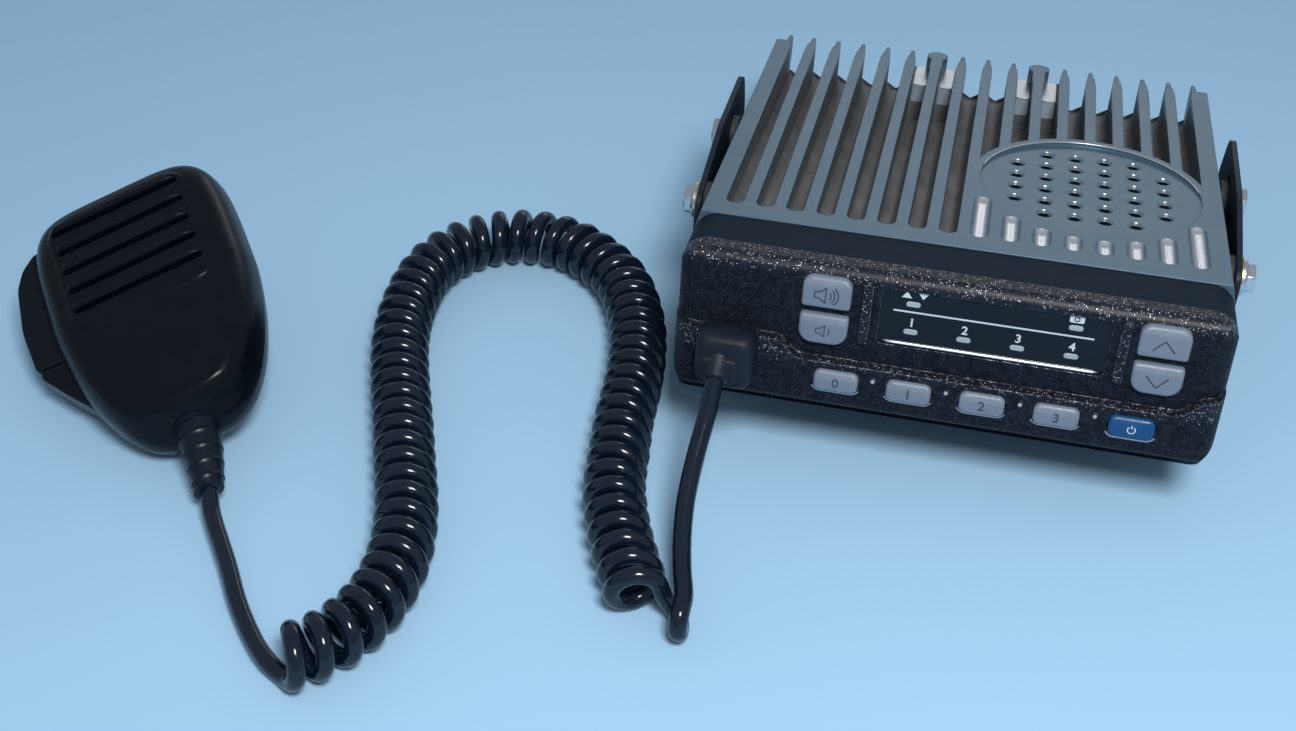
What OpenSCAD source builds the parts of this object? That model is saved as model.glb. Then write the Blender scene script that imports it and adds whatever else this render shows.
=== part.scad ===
// Mobile transceiver in its tilting bracket, with a hand microphone on a curly cord.
// Millimetres. Z is up, the front panel faces -Y, and the origin is on the table
// under the middle of the bracket's base.

/* [Radio body] */
// Width of the cast chassis
body_w = 150; // [140:1:170]
// Depth of the cast chassis behind the front unit
body_d = 145; // [135:1:165]
// Height from the bottom cover to the fin tops
body_h = 42; // [40:1:48]
// Wall of the casting
cast_wall = 3; // [2.5:0.1:3.5]
// Thickness of the bottom cover
cover_t = 2; // [1.5:0.1:2.5]

/* [Heat sink] */
// Spacing of the cooling grooves
fin_pitch = 8.7; // [8.2:0.1:8.9]
// Number of cooling grooves
groove_n = 16; // [16:2:16]
// Width of one groove
groove_w = 5.2; // [4.6:0.1:5.6]
// Solid land in front of the grooves
groove_land = 7.5; // [6:0.5:9]
// Depth of the grooves at their front end
groove_front_depth = 8; // [6:0.5:10]
// Depth of the grooves at the back of the casting
groove_rear_depth = 15; // [12:0.5:16]
// Rounding of the fin tips, seen from the side
fin_round = 6; // [3:0.5:8]

/* [Speaker] */
// Offset of the loudspeaker to the right of the middle
speaker_x = 35; // [30:1:37]
// Distance of the loudspeaker behind the front unit
speaker_y = 51; // [48:1:60]
// Radius of the flat field that breaks the grooves
speaker_field_r = 35; // [33:0.5:36]
// Diameter of the loudspeaker
speaker_d = 57; // [50:1:58]
// Diameter of one speaker hole
speaker_hole_d = 3.4; // [2.5:0.1:4]
// Thickness of the grille over the loudspeaker
grille_t = 2.6; // [2.2:0.1:3.5]

/* [Front unit] */
// Height of the front unit
panel_h = 42.6; // [41.6:0.2:46]
// Depth of the smooth front housing
housing_d = 15; // [13:0.5:18]
// Depth of the textured bezel up to its upper face
bezel_d = 7.5; // [7:0.5:10]
// How far the lower chin stands out from the upper face
chin_d = 2.5; // [1.5:0.1:4]
// Corner radius of the front unit
panel_r = 7; // [4:0.5:9]
// Wall of the front unit's mouldings
shell_t = 2.4; // [2:0.1:3]
// Height of the chin's ledge between the keys
ledge_z = 14; // [13.5:0.1:15]
// Width of the smoked window
window_w = 63.4; // [50:0.1:64]
// Height of the smoked window
window_h = 19.5; // [15:0.5:19.5]

/* [Keys] */
// Width of a volume or channel key
side_key_w = 13.5; // [11:0.5:14]
// Height of the upper key of a pair
upper_key_h = 9.2; // [8:0.2:9.2]
// Height of the lower key of a pair
lower_key_h = 8.8; // [7:0.2:9]
// Width of a function key
small_key_w = 12.4; // [9:0.2:14]
// Height of a function key
small_key_h = 6.2; // [5:0.2:6.4]
// Spacing of the function keys
small_key_pitch = 20.1; // [17:0.1:20.4]
// How far a key stands out of its face
key_rise = 2.2; // [1.5:0.1:3]
// Travel of every key
key_travel = 0.8; // [0.4:0.1:0.9]

/* [Bracket] */
// Tilt of the radio, front end up
tilt = 8; // [4:1:10]
// Height of the pivot bolts above the table
pivot_up = 49; // [48:1:54]
// Thickness of the bracket's steel
bracket_t = 1.6; // [1.2:0.1:2.5]
// Length of the bracket's base
bracket_len = 96; // [90:1:110]
// Height of the bracket's arms
arm_h = 60; // [60:1:68]
// Thickness of the friction washers
washer_t = 2; // [1:0.1:3]
// Diameter of the bracket bolts
bolt_d = 5; // [4:0.5:6]
// Diameter of the screw holes in the base
mount_hole_d = 5.2; // [4:0.1:6]
// Spacing of the base's screw holes across the radio
mount_x = 110; // [90:1:120]
// Spacing of the base's screw holes along the radio
mount_y = 60; // [50:1:70]

/* [Microphone] */
// Width of the microphone's shells
mic_w = 63; // [60:1:66]
// Height of the microphone's shells
mic_h = 92; // [90:1:100]
// Depth of the front shell
mic_front_t = 13; // [12:0.5:15]
// Depth of the rear shell
mic_rear_t = 17; // [16:0.5:17]
// Length of one microphone slot
mic_slot_l = 40; // [30:1:42]
// Height of one microphone slot
mic_slot_h = 2.4; // [1.6:0.1:3]
// Spacing of the microphone slots
mic_slot_pitch = 7.5; // [6:0.1:7.8]

/* [Cord] */
// Diameter of the cord
cord_d = 4.8; // [4:0.1:4.9]
// Outer diameter of the curls
coil_d = 17.7; // [16:0.1:17.8]
// Number of curls
coil_turns = 56.75; // [50.75:1:56.75]

/* [Hidden] */
$fn = 48;
eps = 0.01;
// Clearances
slide_gap = 0.3;
pin_gap = 0.05;
thread_gap = 0.05;
seat_gap = 0.1;

// Radio frame: Y = 0 is the joint of front unit and chassis, Z = 0 the bottom cover
pivot_y = 30;
pivot_z = 30;
slot_reach = 45;
slot_rise = 3;
pivot_wy = -20;
bolt_len_in = 6;
rear_wall = 4;
groove_floor = body_h - groove_rear_depth;
ceiling_z = groove_floor - cast_wall;
speaker_grid = fin_pitch;
speaker_sink = 1.2;
speaker_dish_r = speaker_field_r - 2.5;
speaker_dish_y = speaker_y - speaker_dish_r;
speaker_lip = 0.05;
speaker_lean = atan(speaker_sink / (2 * speaker_dish_r));
speaker_well_r = speaker_d / 2 + slide_gap;
scoop_r = groove_w / 2;
scoop_round = 3.4;
scoop_up = 0.4;
shoulder_in = 1.6;
shoulder_h = 6;
rear_r = 8;
fin_taper = 0.95;
fin_taper_len = 12;
rear_boss_y = body_d - 28;
rear_boss_z = body_h - 5;
rear_boss_rise = 9;
cover_screw_d = 3;
cover_screw_in = 7;
cover_screw_len = 10;
board_t = 1.6;
board_drop = 8;
board_z = ceiling_z - board_drop;
board_gap = 1;
board_screw_x = 58;
board_screw_y = 22;
board_screw_d = 2.6;
amp_w = 66;
amp_d = 19;
amp_y = body_d - 52;
shield_w = 54;
shield_d = 44;
shield_h = 8;
shield_t = 0.6;
shield_x = -20;
shield_y = 40;

// Front unit
panel_lo = -1;
panel_mid = panel_lo + panel_h / 2;
face_y = -housing_d - bezel_d;
chin_y = face_y - chin_d;
inner_y = face_y + shell_t;
chin_inner_y = chin_y + shell_t;
edge_r = 3;
plan_r = 6;
ledge_rise = 5;
ledge_slope = 14;
ledge_left = -45;
ledge_right = 64;
key_flange = 0.9;
key_flange_top = 0.3;
bezel_wall = 2;
chin_lo = 2.4;
chin_hi = 12.5;
key_flange_t = 1.2;
key_back_y = inner_y + key_flange_t;
mat_t = 1.5;
mat_y = key_back_y + key_travel + slide_gap;
front_board_y = mat_y + mat_t;
pair_mid_z = 28.7;
pair_gap = 2.4;
volume_x = -33.5;
channel_x = 56;
small_key_z = 8.2;
small_key_mid = 12;
window_x = 11.7;
window_z = 29.3;
window_t = 2;
window_sink = 0.8;
window_lip = 1.2;
light_pitch = 14.3;
light_w = 4;
light_h = 1.6;
light_low_z = window_z - 4.2;
light_high_z = window_z + 4.6;
rib_x = 2.5;
rib_w = 2.4;
front_post_x = 67.5;
panel_screw_x = [-56, -20, 20, 56];
panel_screw_z = 5.5;
panel_screw_d = 3;
panel_boss_r = 4.5;

// Microphone jack, plug and boot
jack_x = -59;
jack_z = 12;
jack_w = 16;
jack_h = 15;
plug_w = 11.7;
plug_h = 8;
plug_len = 13;
boot_w = 17;
boot_h = 17.5;
boot_d = 8.5;
boot_y = chin_y - seat_gap;
lead_drop = 28;
nozzle_len = 5;
nozzle_d = 9;
nozzle_start = [jack_x - 1.5, boot_y - boot_d + 2, jack_z - 0.4];

// Bracket
arm_x = body_w / 2 + washer_t;
bend_r = 4;
slot_gap = 0.3;
slot_from = -9.5;
slot_to = 4.2;
slot_r = norm([slot_reach, slot_rise]);
spring_t = 0.8;
flange_t = 1.4;
flange_d = bolt_d + 6;
hex_af = bolt_d + 3;
hex_t = 4;

// Microphone frame: x to the right, y to the top, z out of the face
mic_pos = [-229.8, -87.9, 35.6];
mic_head = 37;
mic_pitch = 15.5;
mic_roll = 20;
mic_n = 56;
mic_top_power = 5.5;
mic_low_power = 3.6;
mic_taper = 0.34;
mic_thin = 0.36;
mic_thin_from = 24;
mic_seam = 0.2;
cavity_x = 20;
cavity_lo = -22;
cavity_hi = 38;
rear_cavity_x = 17;
rear_cavity_lo = -22;
rear_cavity_hi = 36;
mic_wall = 2;
slot_top = mic_h / 2 - 12.2;
ptt_lo = -19.5;
ptt_hi = -9.5;
ptt_pin_x = -27.2;
ptt_pin_y = -4;
ptt_pin_d = 2.4;
ptt_gap = 0.5;
ptt_travel_deg = 2.6;
ptt_play = 2.4;
ptt_pin_lo = ptt_lo - 1.5;
ptt_pin_hi = ptt_hi + 1.7;
pocket_x = -22.8;
nub_y = 25;
nub_d = 3;
nub_play = 1.4;
mic_board_t = 1.6;
mic_board_z = -mic_front_t + 2;
relief_z = -10.9;
relief_root_y = -mic_h / 2 + 2.5;
relief_d = 12.5;
relief_end_d = 7.6;
relief_len = 21;
relief_ribs = 5;
hanger_y = 12;
hanger_d = 15;
hanger_h = 8.9;
mic_screw_d = 2.6;

// Cord route: control points chosen by hand, in table coordinates
coil_z = coil_d / 2 + 0.15;
coil_r = (coil_d - cord_d) / 2;
curl_rings = 8;
coil_start_phase = 180;
coil_axis = [
    [-68, -146], [-75, -132], [-80, -120], [-84, -107], [-86, -93], [-88, -78], [-89, -63],
    [-91, -48], [-95, -32], [-103, -15], [-114, -4], [-126, 2.5], [-139.5, 3.5], [-151.5, -1],
    [-161, -10.5], [-166, -24], [-166, -42], [-163, -59], [-157, -77], [-150, -95], [-144, -111],
    [-138, -127], [-134, -142], [-133, -156], [-135.5, -169], [-141.5, -180], [-150, -188]
];
radio_lead_free = [[-61, -107, 26], [-60, -118, 19.8], [-58.6, -128, 15], [-57, -138, 11.8]];
radio_loop = [[-55.3, -147.6, 9.9], [-54.3, -157.4, 8.3], [-57.3, -160.4, 5.4], [-60.9, -157.8, 3.1], [-62.1, -148.3, 3]];
mic_loop = [[-155, -184.2, 2.7], [-161, -177.5, 2.9]];
mic_lead_free = [[-169.5, -167, 3.8], [-178, -154.5, 5]];

// Helpers

function unit(v) = v / norm(v);
function sum(v, i = 0) = i < len(v) ? v[i] + sum(v, i + 1) : 0;

// Points of a polygon whose corners are rounded with the given radii
function corner(a, b, c, r, n = 6) =
    let (u = unit(a - b), v = unit(c - b), half = acos(u * v) / 2,
         mid = b + unit(u + v) * r / sin(half),
         p = b + u * r / tan(half) - mid, q = b + v * r / tan(half) - mid,
         from = atan2(p.y, p.x), turn = (atan2(q.y, q.x) - from + 540) % 360 - 180)
    r <= 0 ? [b] : [for (i = [0 : n]) mid + r * [cos(from + turn * i / n), sin(from + turn * i / n)]];
function rounded(pts, radii) =
    let (n = len(pts))
    [for (i = [0 : n - 1]) each corner(pts[(i + n - 1) % n], pts[i], pts[(i + 1) % n], radii[i])];

// Rectangle with four equal round corners, centred
module rrect(w, h, r) {
    square([w - 2 * r, h], center = true);
    square([w, h - 2 * r], center = true);
    for (x = [-1, 1], y = [-1, 1])
        translate([x * (w / 2 - r), y * (h / 2 - r)]) circle(r);
}

// Extrusions: a side view along X, and a front view from y0 forward to y1
module side_extrude(w) rotate([90, 0, 90]) linear_extrude(w, center = true) children();
module front_extrude(y0, y1) translate([0, y0, 0]) rotate([90, 0, 0]) linear_extrude(y0 - y1) children();

// Cap of a section that is a mirror image about x = 0, cut into level strips
function strip_cap(n, base, flip) = [for (k = [-n / 4 : n / 4 - 2])
    let (q = [(k + n) % n, (k + 1 + n) % n, (n / 2 - 2 - k + n) % n, (n / 2 - 1 - k + n) % n])
    [for (i = flip ? [3, 2, 1, 0] : [0, 1, 2, 3]) base + q[i]]];

// Closed solid through a list of sections with equal point counts
module loft(sections, strips = false) {
    n = len(sections[0]);
    m = len(sections);
    polyhedron(
        points = [for (s = sections) each s],
        faces = concat(
            strips ? strip_cap(n, 0, false) : [[for (i = [0 : n - 1]) i]],
            [for (k = [0 : m - 2], i = [0 : n - 1])
                each [[k * n + i, (k + 1) * n + i, (k + 1) * n + (i + 1) % n],
                      [k * n + i, (k + 1) * n + (i + 1) % n, k * n + (i + 1) % n]]],
            strips ? strip_cap(n, (m - 1) * n, true) : [[for (i = [n - 1 : -1 : 0]) (m - 1) * n + i]]),
        convexity = 8);
}

module on_radio() {
    translate([0, pivot_wy, pivot_up]) rotate([-tilt, 0, 0]) translate([0, -pivot_y, -pivot_z]) children();
}
function radio_turn(v) = [v.x, v.y * cos(tilt) + v.z * sin(tilt), -v.y * sin(tilt) + v.z * cos(tilt)];
function radio_point(p) = [0, pivot_wy, pivot_up] + radio_turn(p - [0, pivot_y, pivot_z]);

module on_mic() {
    translate(mic_pos) rotate([0, 0, mic_head]) rotate([mic_pitch, 0, 0]) rotate([0, -mic_roll, 0]) children();
}
function mic_turn(v) =
    let (a = [v.x * cos(mic_roll) - v.z * sin(mic_roll), v.y, v.x * sin(mic_roll) + v.z * cos(mic_roll)],
         b = [a.x, a.y * cos(mic_pitch) - a.z * sin(mic_pitch), a.y * sin(mic_pitch) + a.z * cos(mic_pitch)])
    [b.x * cos(mic_head) - b.y * sin(mic_head), b.x * sin(mic_head) + b.y * cos(mic_head), b.z];

// Chassis

function groove_x(i) = (i - (groove_n - 1) / 2) * fin_pitch;
cover_screws = [for (x = [-1, 1], y = [cover_screw_in, body_d - cover_screw_in])
    [x * (body_w / 2 - cover_screw_in), y]];
bracket_bolts = [[pivot_y, pivot_z], [pivot_y + slot_reach, pivot_z + slot_rise]];

module chassis_block() {
    intersection() {
        side_extrude(body_w) difference() {
            translate([0, cover_t]) square([body_d, body_h - cover_t]);
            translate([body_d - fin_round, body_h - fin_round]) difference() {
                square(fin_round + 1);
                circle(fin_round);
            }
        }
        front_extrude(body_d + 1, -1) polygon([
            [-body_w / 2, 0], [body_w / 2, 0], [body_w / 2, body_h - shoulder_h],
            [body_w / 2 - shoulder_in, body_h], [-body_w / 2 + shoulder_in, body_h],
            [-body_w / 2, body_h - shoulder_h]]);
        linear_extrude(body_h + 1) chassis_plan(body_w, body_d);
    }
}

module chassis_plan(w, d) {
    translate([-w / 2, 0]) square([w, d - rear_r]);
    translate([-w / 2 + rear_r, 0]) square([w - 2 * rear_r, d]);
    for (x = [-1, 1]) translate([x * (w / 2 - rear_r), d - rear_r]) circle(rear_r);
}

module groove_slot() {
    translate([0, groove_land + groove_w / 2]) circle(d = groove_w);
    translate([-groove_w / 2, groove_land + groove_w / 2]) square([groove_w, body_d]);
    // The fins get thinner towards their rear tips
    polygon([[-groove_w / 2, body_d - fin_taper_len], [groove_w / 2, body_d - fin_taper_len],
        [groove_w / 2 + fin_taper, body_d + 1], [-groove_w / 2 - fin_taper, body_d + 1]]);
}

module grooves() {
    intersection() {
        linear_extrude(body_h + 1) {
            for (i = [0 : groove_n / 2 - 1]) translate([groove_x(i), 0]) groove_slot();
            difference() {
                for (i = [groove_n / 2 : groove_n - 1]) translate([groove_x(i), 0]) groove_slot();
                translate([speaker_x, speaker_y]) circle(speaker_field_r);
                translate([0, -1]) square([body_w / 2, speaker_y + 1]);
            }
        }
        side_extrude(body_w + 2) polygon([
            [0, body_h + 1], [0, body_h - groove_front_depth], [groove_land, body_h - groove_front_depth],
            [body_d + 1, groove_floor], [body_d + 1, body_h + 1]]);
    }
}

// Round flutes in front of the loudspeaker, which end at its field
module scoops() {
    y0 = groove_land + scoop_r;
    for (i = [groove_n / 2 : groove_n - 1]) translate([groove_x(i), 0, 0]) intersection() {
        y1 = speaker_y - sqrt(pow(speaker_field_r, 2) - pow(groove_x(i) - speaker_x, 2)) - scoop_r;
        linear_extrude(2 * body_h) {
            translate([0, y0]) circle(scoop_r);
            translate([0, y1]) circle(scoop_r);
            translate([-scoop_r, y0]) square([groove_w, y1 - y0]);
        }
        translate([0, groove_land - 1, body_h + scoop_up])
            rotate([-90, 0, 0]) cylinder(r = scoop_round, h = speaker_y);
    }
}

// The field of speaker holes leans back: level with the lands in front, sunk behind
module speaker_dish() {
    translate([speaker_x, speaker_dish_y, body_h - speaker_lip]) rotate([-speaker_lean, 0, 0])
        translate([0, speaker_dish_r, 0]) cylinder(r = speaker_dish_r, h = 2 * speaker_sink);
}

module speaker_holes() {
    for (i = [0 : 5], j = [0 : 5])
        if (!((i == 0 || i == 5) && (j == 0 || j == 5))) {
            y = speaker_y + (j - 2.5) * speaker_grid;
            translate([speaker_x + (i - 2.5) * speaker_grid, y, 0]) {
                translate([0, 0, ceiling_z]) cylinder(d = speaker_hole_d, h = body_h);
                translate([0, 0, body_h - speaker_lip - (y - speaker_dish_y) * tan(speaker_lean) - 1.2])
                    cylinder(d1 = speaker_hole_d - 1, d2 = speaker_hole_d + 1.8, h = 1.4);
            }
        }
}

module rear_bosses() {
    for (s = [-1, 1]) translate([s * 2 * fin_pitch, 0, 0]) {
        side_extrude(2 * fin_pitch) polygon([
            [rear_boss_y, groove_floor - 1], [rear_boss_y, groove_floor + 2],
            [rear_boss_y + rear_boss_rise, rear_boss_z], [body_d - 1, rear_boss_z], [body_d - 1, groove_floor - 1]]);
        translate([0, body_d - 2, groove_floor]) cylinder(d = 7, h = groove_rear_depth);
        translate([-2, body_d - 14, groove_floor]) cube([4, 12, groove_rear_depth]);
    }
}

module heatsink_chassis() {
    color("slategray") on_radio() difference() {
        union() {
            difference() {
                chassis_block();
                grooves();
                scoops();
                speaker_dish();
                translate([-body_w / 2 + cast_wall, cast_wall, -1])
                    cube([body_w - 2 * cast_wall, body_d - cast_wall - rear_wall, ceiling_z + 1]);
                translate([speaker_x, speaker_y, ceiling_z - 1])
                    cylinder(r = speaker_well_r, h = body_h - grille_t - ceiling_z + 1);
            }
            rear_bosses();
            for (p = cover_screws) translate([p.x, p.y, cover_t]) cylinder(d = 9, h = ceiling_z - cover_t + 1);
            for (x = [-1, 1], y = [board_screw_y, body_d - board_screw_y])
                translate([x * board_screw_x, y, board_z + board_t])
                    cylinder(d = 7, h = ceiling_z - board_z - board_t + 1);
        }
        speaker_holes();
        // Way through the front wall for the ribbon to the front board
        translate([-50, -1, 10]) cube([100, cast_wall + 2, ceiling_z - 13]);
        for (x = panel_screw_x) translate([x, -1, panel_screw_z])
            rotate([-90, 0, 0]) cylinder(d = panel_screw_d + 2 * thread_gap, h = cast_wall + 2);
        for (p = cover_screws) translate([p.x, p.y, cover_t - 1])
            cylinder(d = cover_screw_d + 2 * thread_gap, h = cover_screw_len + 1);
        for (x = [-1, 1], y = [board_screw_y, body_d - board_screw_y])
            translate([x * board_screw_x, y, board_z])
                cylinder(d = board_screw_d + 2 * thread_gap, h = 7);
        for (b = bracket_bolts, s = [0, 1]) mirror([s, 0, 0])
            translate([body_w / 2 - bolt_len_in - 0.5, b.x, b.y])
                rotate([0, 90, 0]) cylinder(d = bolt_d + 2 * thread_gap, h = bolt_len_in + 1);
        rear_holes();
    }
}

antenna_in = 29;
antenna_x = antenna_in - body_w / 2;
antenna_z = 13;
antenna_d = 16;
inlet_in = 33;
inlet_x = body_w / 2 - inlet_in;
inlet_z = 13;
inlet_w = 24;
inlet_h = 11;
ext_x = 4;
ext_z = 13;
ext_d = 8;

module rear_holes() {
    translate([antenna_x, body_d - rear_wall - 1, antenna_z])
        rotate([-90, 0, 0]) cylinder(d = antenna_d + 2 * seat_gap, h = rear_wall + 2);
    translate([inlet_x - inlet_w / 2 - seat_gap, body_d - rear_wall - 1, inlet_z - inlet_h / 2 - seat_gap])
        cube([inlet_w + 2 * seat_gap, rear_wall + 2, inlet_h + 2 * seat_gap]);
    translate([ext_x, body_d - rear_wall - 1, ext_z])
        rotate([-90, 0, 0]) cylinder(d = ext_d + 2 * seat_gap, h = rear_wall + 2);
}

module bottom_cover() {
    color("dimgray") on_radio() difference() {
        linear_extrude(cover_t) chassis_plan(body_w, body_d);
        for (p = cover_screws) translate([p.x, p.y, 0]) {
            translate([0, 0, -1]) cylinder(d = cover_screw_d + 2 * seat_gap, h = cover_t + 2);
            translate([0, 0, -eps])
                cylinder(d1 = 2 * cover_screw_d + 2 * seat_gap, d2 = cover_screw_d, h = cover_screw_d / 2);
        }
    }
}

module bottom_screws() {
    color("silver") on_radio() for (p = cover_screws) translate([p.x, p.y, 0]) {
        cylinder(d1 = 2 * cover_screw_d, d2 = cover_screw_d, h = cover_screw_d / 2);
        cylinder(d = cover_screw_d, h = cover_screw_len);
    }
}

// Inside the chassis

module main_board() {
    color("darkgreen") on_radio() difference() {
        translate([-body_w / 2 + cast_wall + board_gap, cast_wall + 12, board_z])
            cube([body_w - 2 * cast_wall - 2 * board_gap, body_d - 2 * cast_wall - 24, board_t]);
        for (x = [-1, 1], y = [board_screw_y, body_d - board_screw_y])
            translate([x * board_screw_x, y, board_z - 1]) cylinder(d = board_screw_d + 0.6, h = board_t + 2);
    }
}

module board_screws() {
    color("silver") on_radio()
        for (x = [-1, 1], y = [board_screw_y, body_d - board_screw_y])
            translate([x * board_screw_x, y, board_z]) {
                cylinder(d = board_screw_d, h = board_t + 5);
                translate([0, 0, -1.6]) cylinder(d = 5, h = 1.6);
            }
}

module power_module() {
    color("gainsboro") on_radio()
        translate([-amp_w / 2, amp_y, board_z + board_t])
            cube([amp_w, amp_d, ceiling_z - board_z - board_t]);
}

module shield_can() {
    color("silver") on_radio() difference() {
        translate([shield_x - shield_w / 2, shield_y, board_z - shield_h]) cube([shield_w, shield_d, shield_h]);
        translate([shield_x - shield_w / 2 + shield_t, shield_y + shield_t, board_z - shield_h + shield_t])
            cube([shield_w - 2 * shield_t, shield_d - 2 * shield_t, shield_h]);
    }
}

speaker_top = body_h - grille_t;
speaker_rim = 1.2;
speaker_deep = 9;
magnet_d = 26;
magnet_h = 6;
coil_hole_r = 5;

module speaker_frame() {
    color("darkgray") on_radio() translate([speaker_x, speaker_y, speaker_top]) rotate_extrude() polygon([
        [speaker_d / 2, 0], [speaker_d / 2, -speaker_rim], [speaker_d / 2 - 3.5, -speaker_rim],
        [magnet_d / 2 + 1, -speaker_deep], [coil_hole_r, -speaker_deep], [coil_hole_r, -speaker_deep + 1],
        [magnet_d / 2 + 0.4, -speaker_deep + 1], [speaker_d / 2 - 4.6, 0]]);
}

module speaker_cone() {
    color("black") on_radio() translate([speaker_x, speaker_y, speaker_top]) rotate_extrude() polygon([
        [speaker_d / 2 - 6.6, -0.6], [coil_hole_r + 4.5, -speaker_deep + 2.2], [0, -speaker_deep + 2.2],
        [0, -speaker_deep + 1], [coil_hole_r - 1, -speaker_deep + 1], [coil_hole_r - 1, -speaker_deep],
        [coil_hole_r - 0.2, -speaker_deep], [coil_hole_r - 0.2, -speaker_deep + 1],
        [coil_hole_r + 4, -speaker_deep + 1], [speaker_d / 2 - 7.1, -1.4]]);
}

module speaker_magnet() {
    color("dimgray") on_radio() translate([speaker_x, speaker_y, speaker_top - speaker_deep - magnet_h])
        cylinder(d = magnet_d, h = magnet_h);
}

// Rear sockets

module antenna_socket() {
    color("gainsboro") on_radio() translate([antenna_x, body_d, antenna_z]) rotate([-90, 0, 0]) difference() {
        union() {
            translate([0, 0, -rear_wall - 3]) cylinder(d = antenna_d, h = rear_wall + 3);
            linear_extrude(2) rrect(23, 22, 3);
            cylinder(d = antenna_d, h = 13);
        }
        translate([0, 0, 3]) cylinder(d = 12, h = 20);
        translate([0, 0, -2]) cylinder(d = 4, h = 20);
    }
}

module power_inlet() {
    color("ivory") on_radio() translate([inlet_x, body_d, inlet_z]) difference() {
        translate([-inlet_w / 2, -rear_wall - 6, -inlet_h / 2]) cube([inlet_w, rear_wall + 8, inlet_h]);
        for (x = [-1, 1]) translate([x * inlet_w / 4 - 4.5, -4, -inlet_h / 2 + 1.5]) cube([9, 10, inlet_h - 3]);
    }
}

module speaker_jack() {
    color("black") on_radio() translate([ext_x, body_d, ext_z]) rotate([-90, 0, 0]) difference() {
        union() {
            translate([0, 0, -rear_wall - 8]) cylinder(d = ext_d, h = rear_wall + 8);
            cylinder(d = ext_d + 2, h = 1.5);
        }
        translate([0, 0, -8]) cylinder(d = 3.6, h = 20);
    }
}

// Front unit

module panel_outline(inset = 0) {
    translate([0, panel_mid]) rrect(body_w - 2 * inset, panel_h - 2 * inset, panel_r - inset);
}

module front_housing() {
    color("midnightblue") on_radio() difference() {
        union() {
            difference() {
                front_extrude(0, -housing_d) panel_outline();
                front_extrude(1, -housing_d - 1) panel_outline(shell_t);
            }
            for (x = panel_screw_x) intersection() {
                translate([x, 0, panel_screw_z]) rotate([90, 0, 0]) cylinder(r = panel_boss_r, h = 10);
                front_extrude(0, -housing_d) panel_outline();
            }
        }
        for (x = panel_screw_x) translate([x, 1, panel_screw_z])
            rotate([90, 0, 0]) cylinder(d = panel_screw_d + 2 * thread_gap, h = 10);
    }
}

module panel_screws() {
    color("silver") on_radio() for (x = panel_screw_x) translate([x, cast_wall, panel_screw_z]) rotate([90, 0, 0]) {
        cylinder(d = panel_screw_d, h = cast_wall + 7);
        translate([0, 0, -2]) cylinder(d = 5.6, h = 2);
    }
}

// Block with rounded front edges, seen from the front, from above and from the side
module bezel_block(front) {
    intersection() {
        front_extrude(-housing_d, front) panel_outline();
        translate([0, 0, panel_lo - 1]) linear_extrude(panel_h + 2) {
            translate([-body_w / 2, front + plan_r]) square([body_w, -front]);
            translate([-body_w / 2 + plan_r, front]) square([body_w - 2 * plan_r, -front]);
            for (x = [-1, 1]) translate([x * (body_w / 2 - plan_r), front + plan_r]) circle(plan_r);
        }
        side_extrude(body_w + 2) translate([0, panel_mid]) {
            translate([front, -panel_h / 2 + edge_r]) square([-front, panel_h - 2 * edge_r]);
            translate([front + edge_r, -panel_h / 2]) square([-front - edge_r, panel_h]);
            for (z = [-1, 1]) translate([front + edge_r, z * (panel_h / 2 - edge_r)]) circle(edge_r);
        }
    }
}

// Region of the chin: its top edge dips between the side keys, and its ledge slopes forward
module chin_region() {
    top = ledge_rise * cos(ledge_slope);
    translate([0, face_y, ledge_z]) rotate([90 + ledge_slope, 0, 0])
        translate([0, 0, -8]) linear_extrude(24) polygon(rounded(
            [[-body_w, -40], [body_w, -40], [body_w, top], [ledge_right + 5, top], [ledge_right, 0],
             [ledge_left + 5, 0], [ledge_left, top], [-body_w, top]],
            [0, 0, 0, 4, 4, 4, 4, 0]));
}

module pair_outline(h, grow, r_top, r_bottom) {
    w = side_key_w + 2 * grow;
    polygon(rounded(
        [[-w / 2, -h / 2 - grow], [w / 2, -h / 2 - grow], [w / 2, h / 2 + grow], [-w / 2, h / 2 + grow]],
        [r_bottom + grow, r_bottom + grow, r_top + grow, r_top + grow]));
}
module flange_outline(h) translate([-side_key_w / 2 - key_flange, -h / 2 - key_flange])
    square([side_key_w + 2 * key_flange, h + key_flange + key_flange_top]);
module upper_outline(grow = 0) pair_outline(upper_key_h, grow, 3, 1);
module lower_outline(grow = 0) pair_outline(lower_key_h, grow, 1, 4);
module small_outline(grow = 0) rrect(small_key_w + 2 * grow, small_key_h + 2 * grow, 2 + grow);

upper_key_z = pair_mid_z + pair_gap / 2 + upper_key_h / 2;
lower_key_z = pair_mid_z - pair_gap / 2 - lower_key_h / 2;
function small_key_x(i) = small_key_mid + (i - 2) * small_key_pitch;

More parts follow.
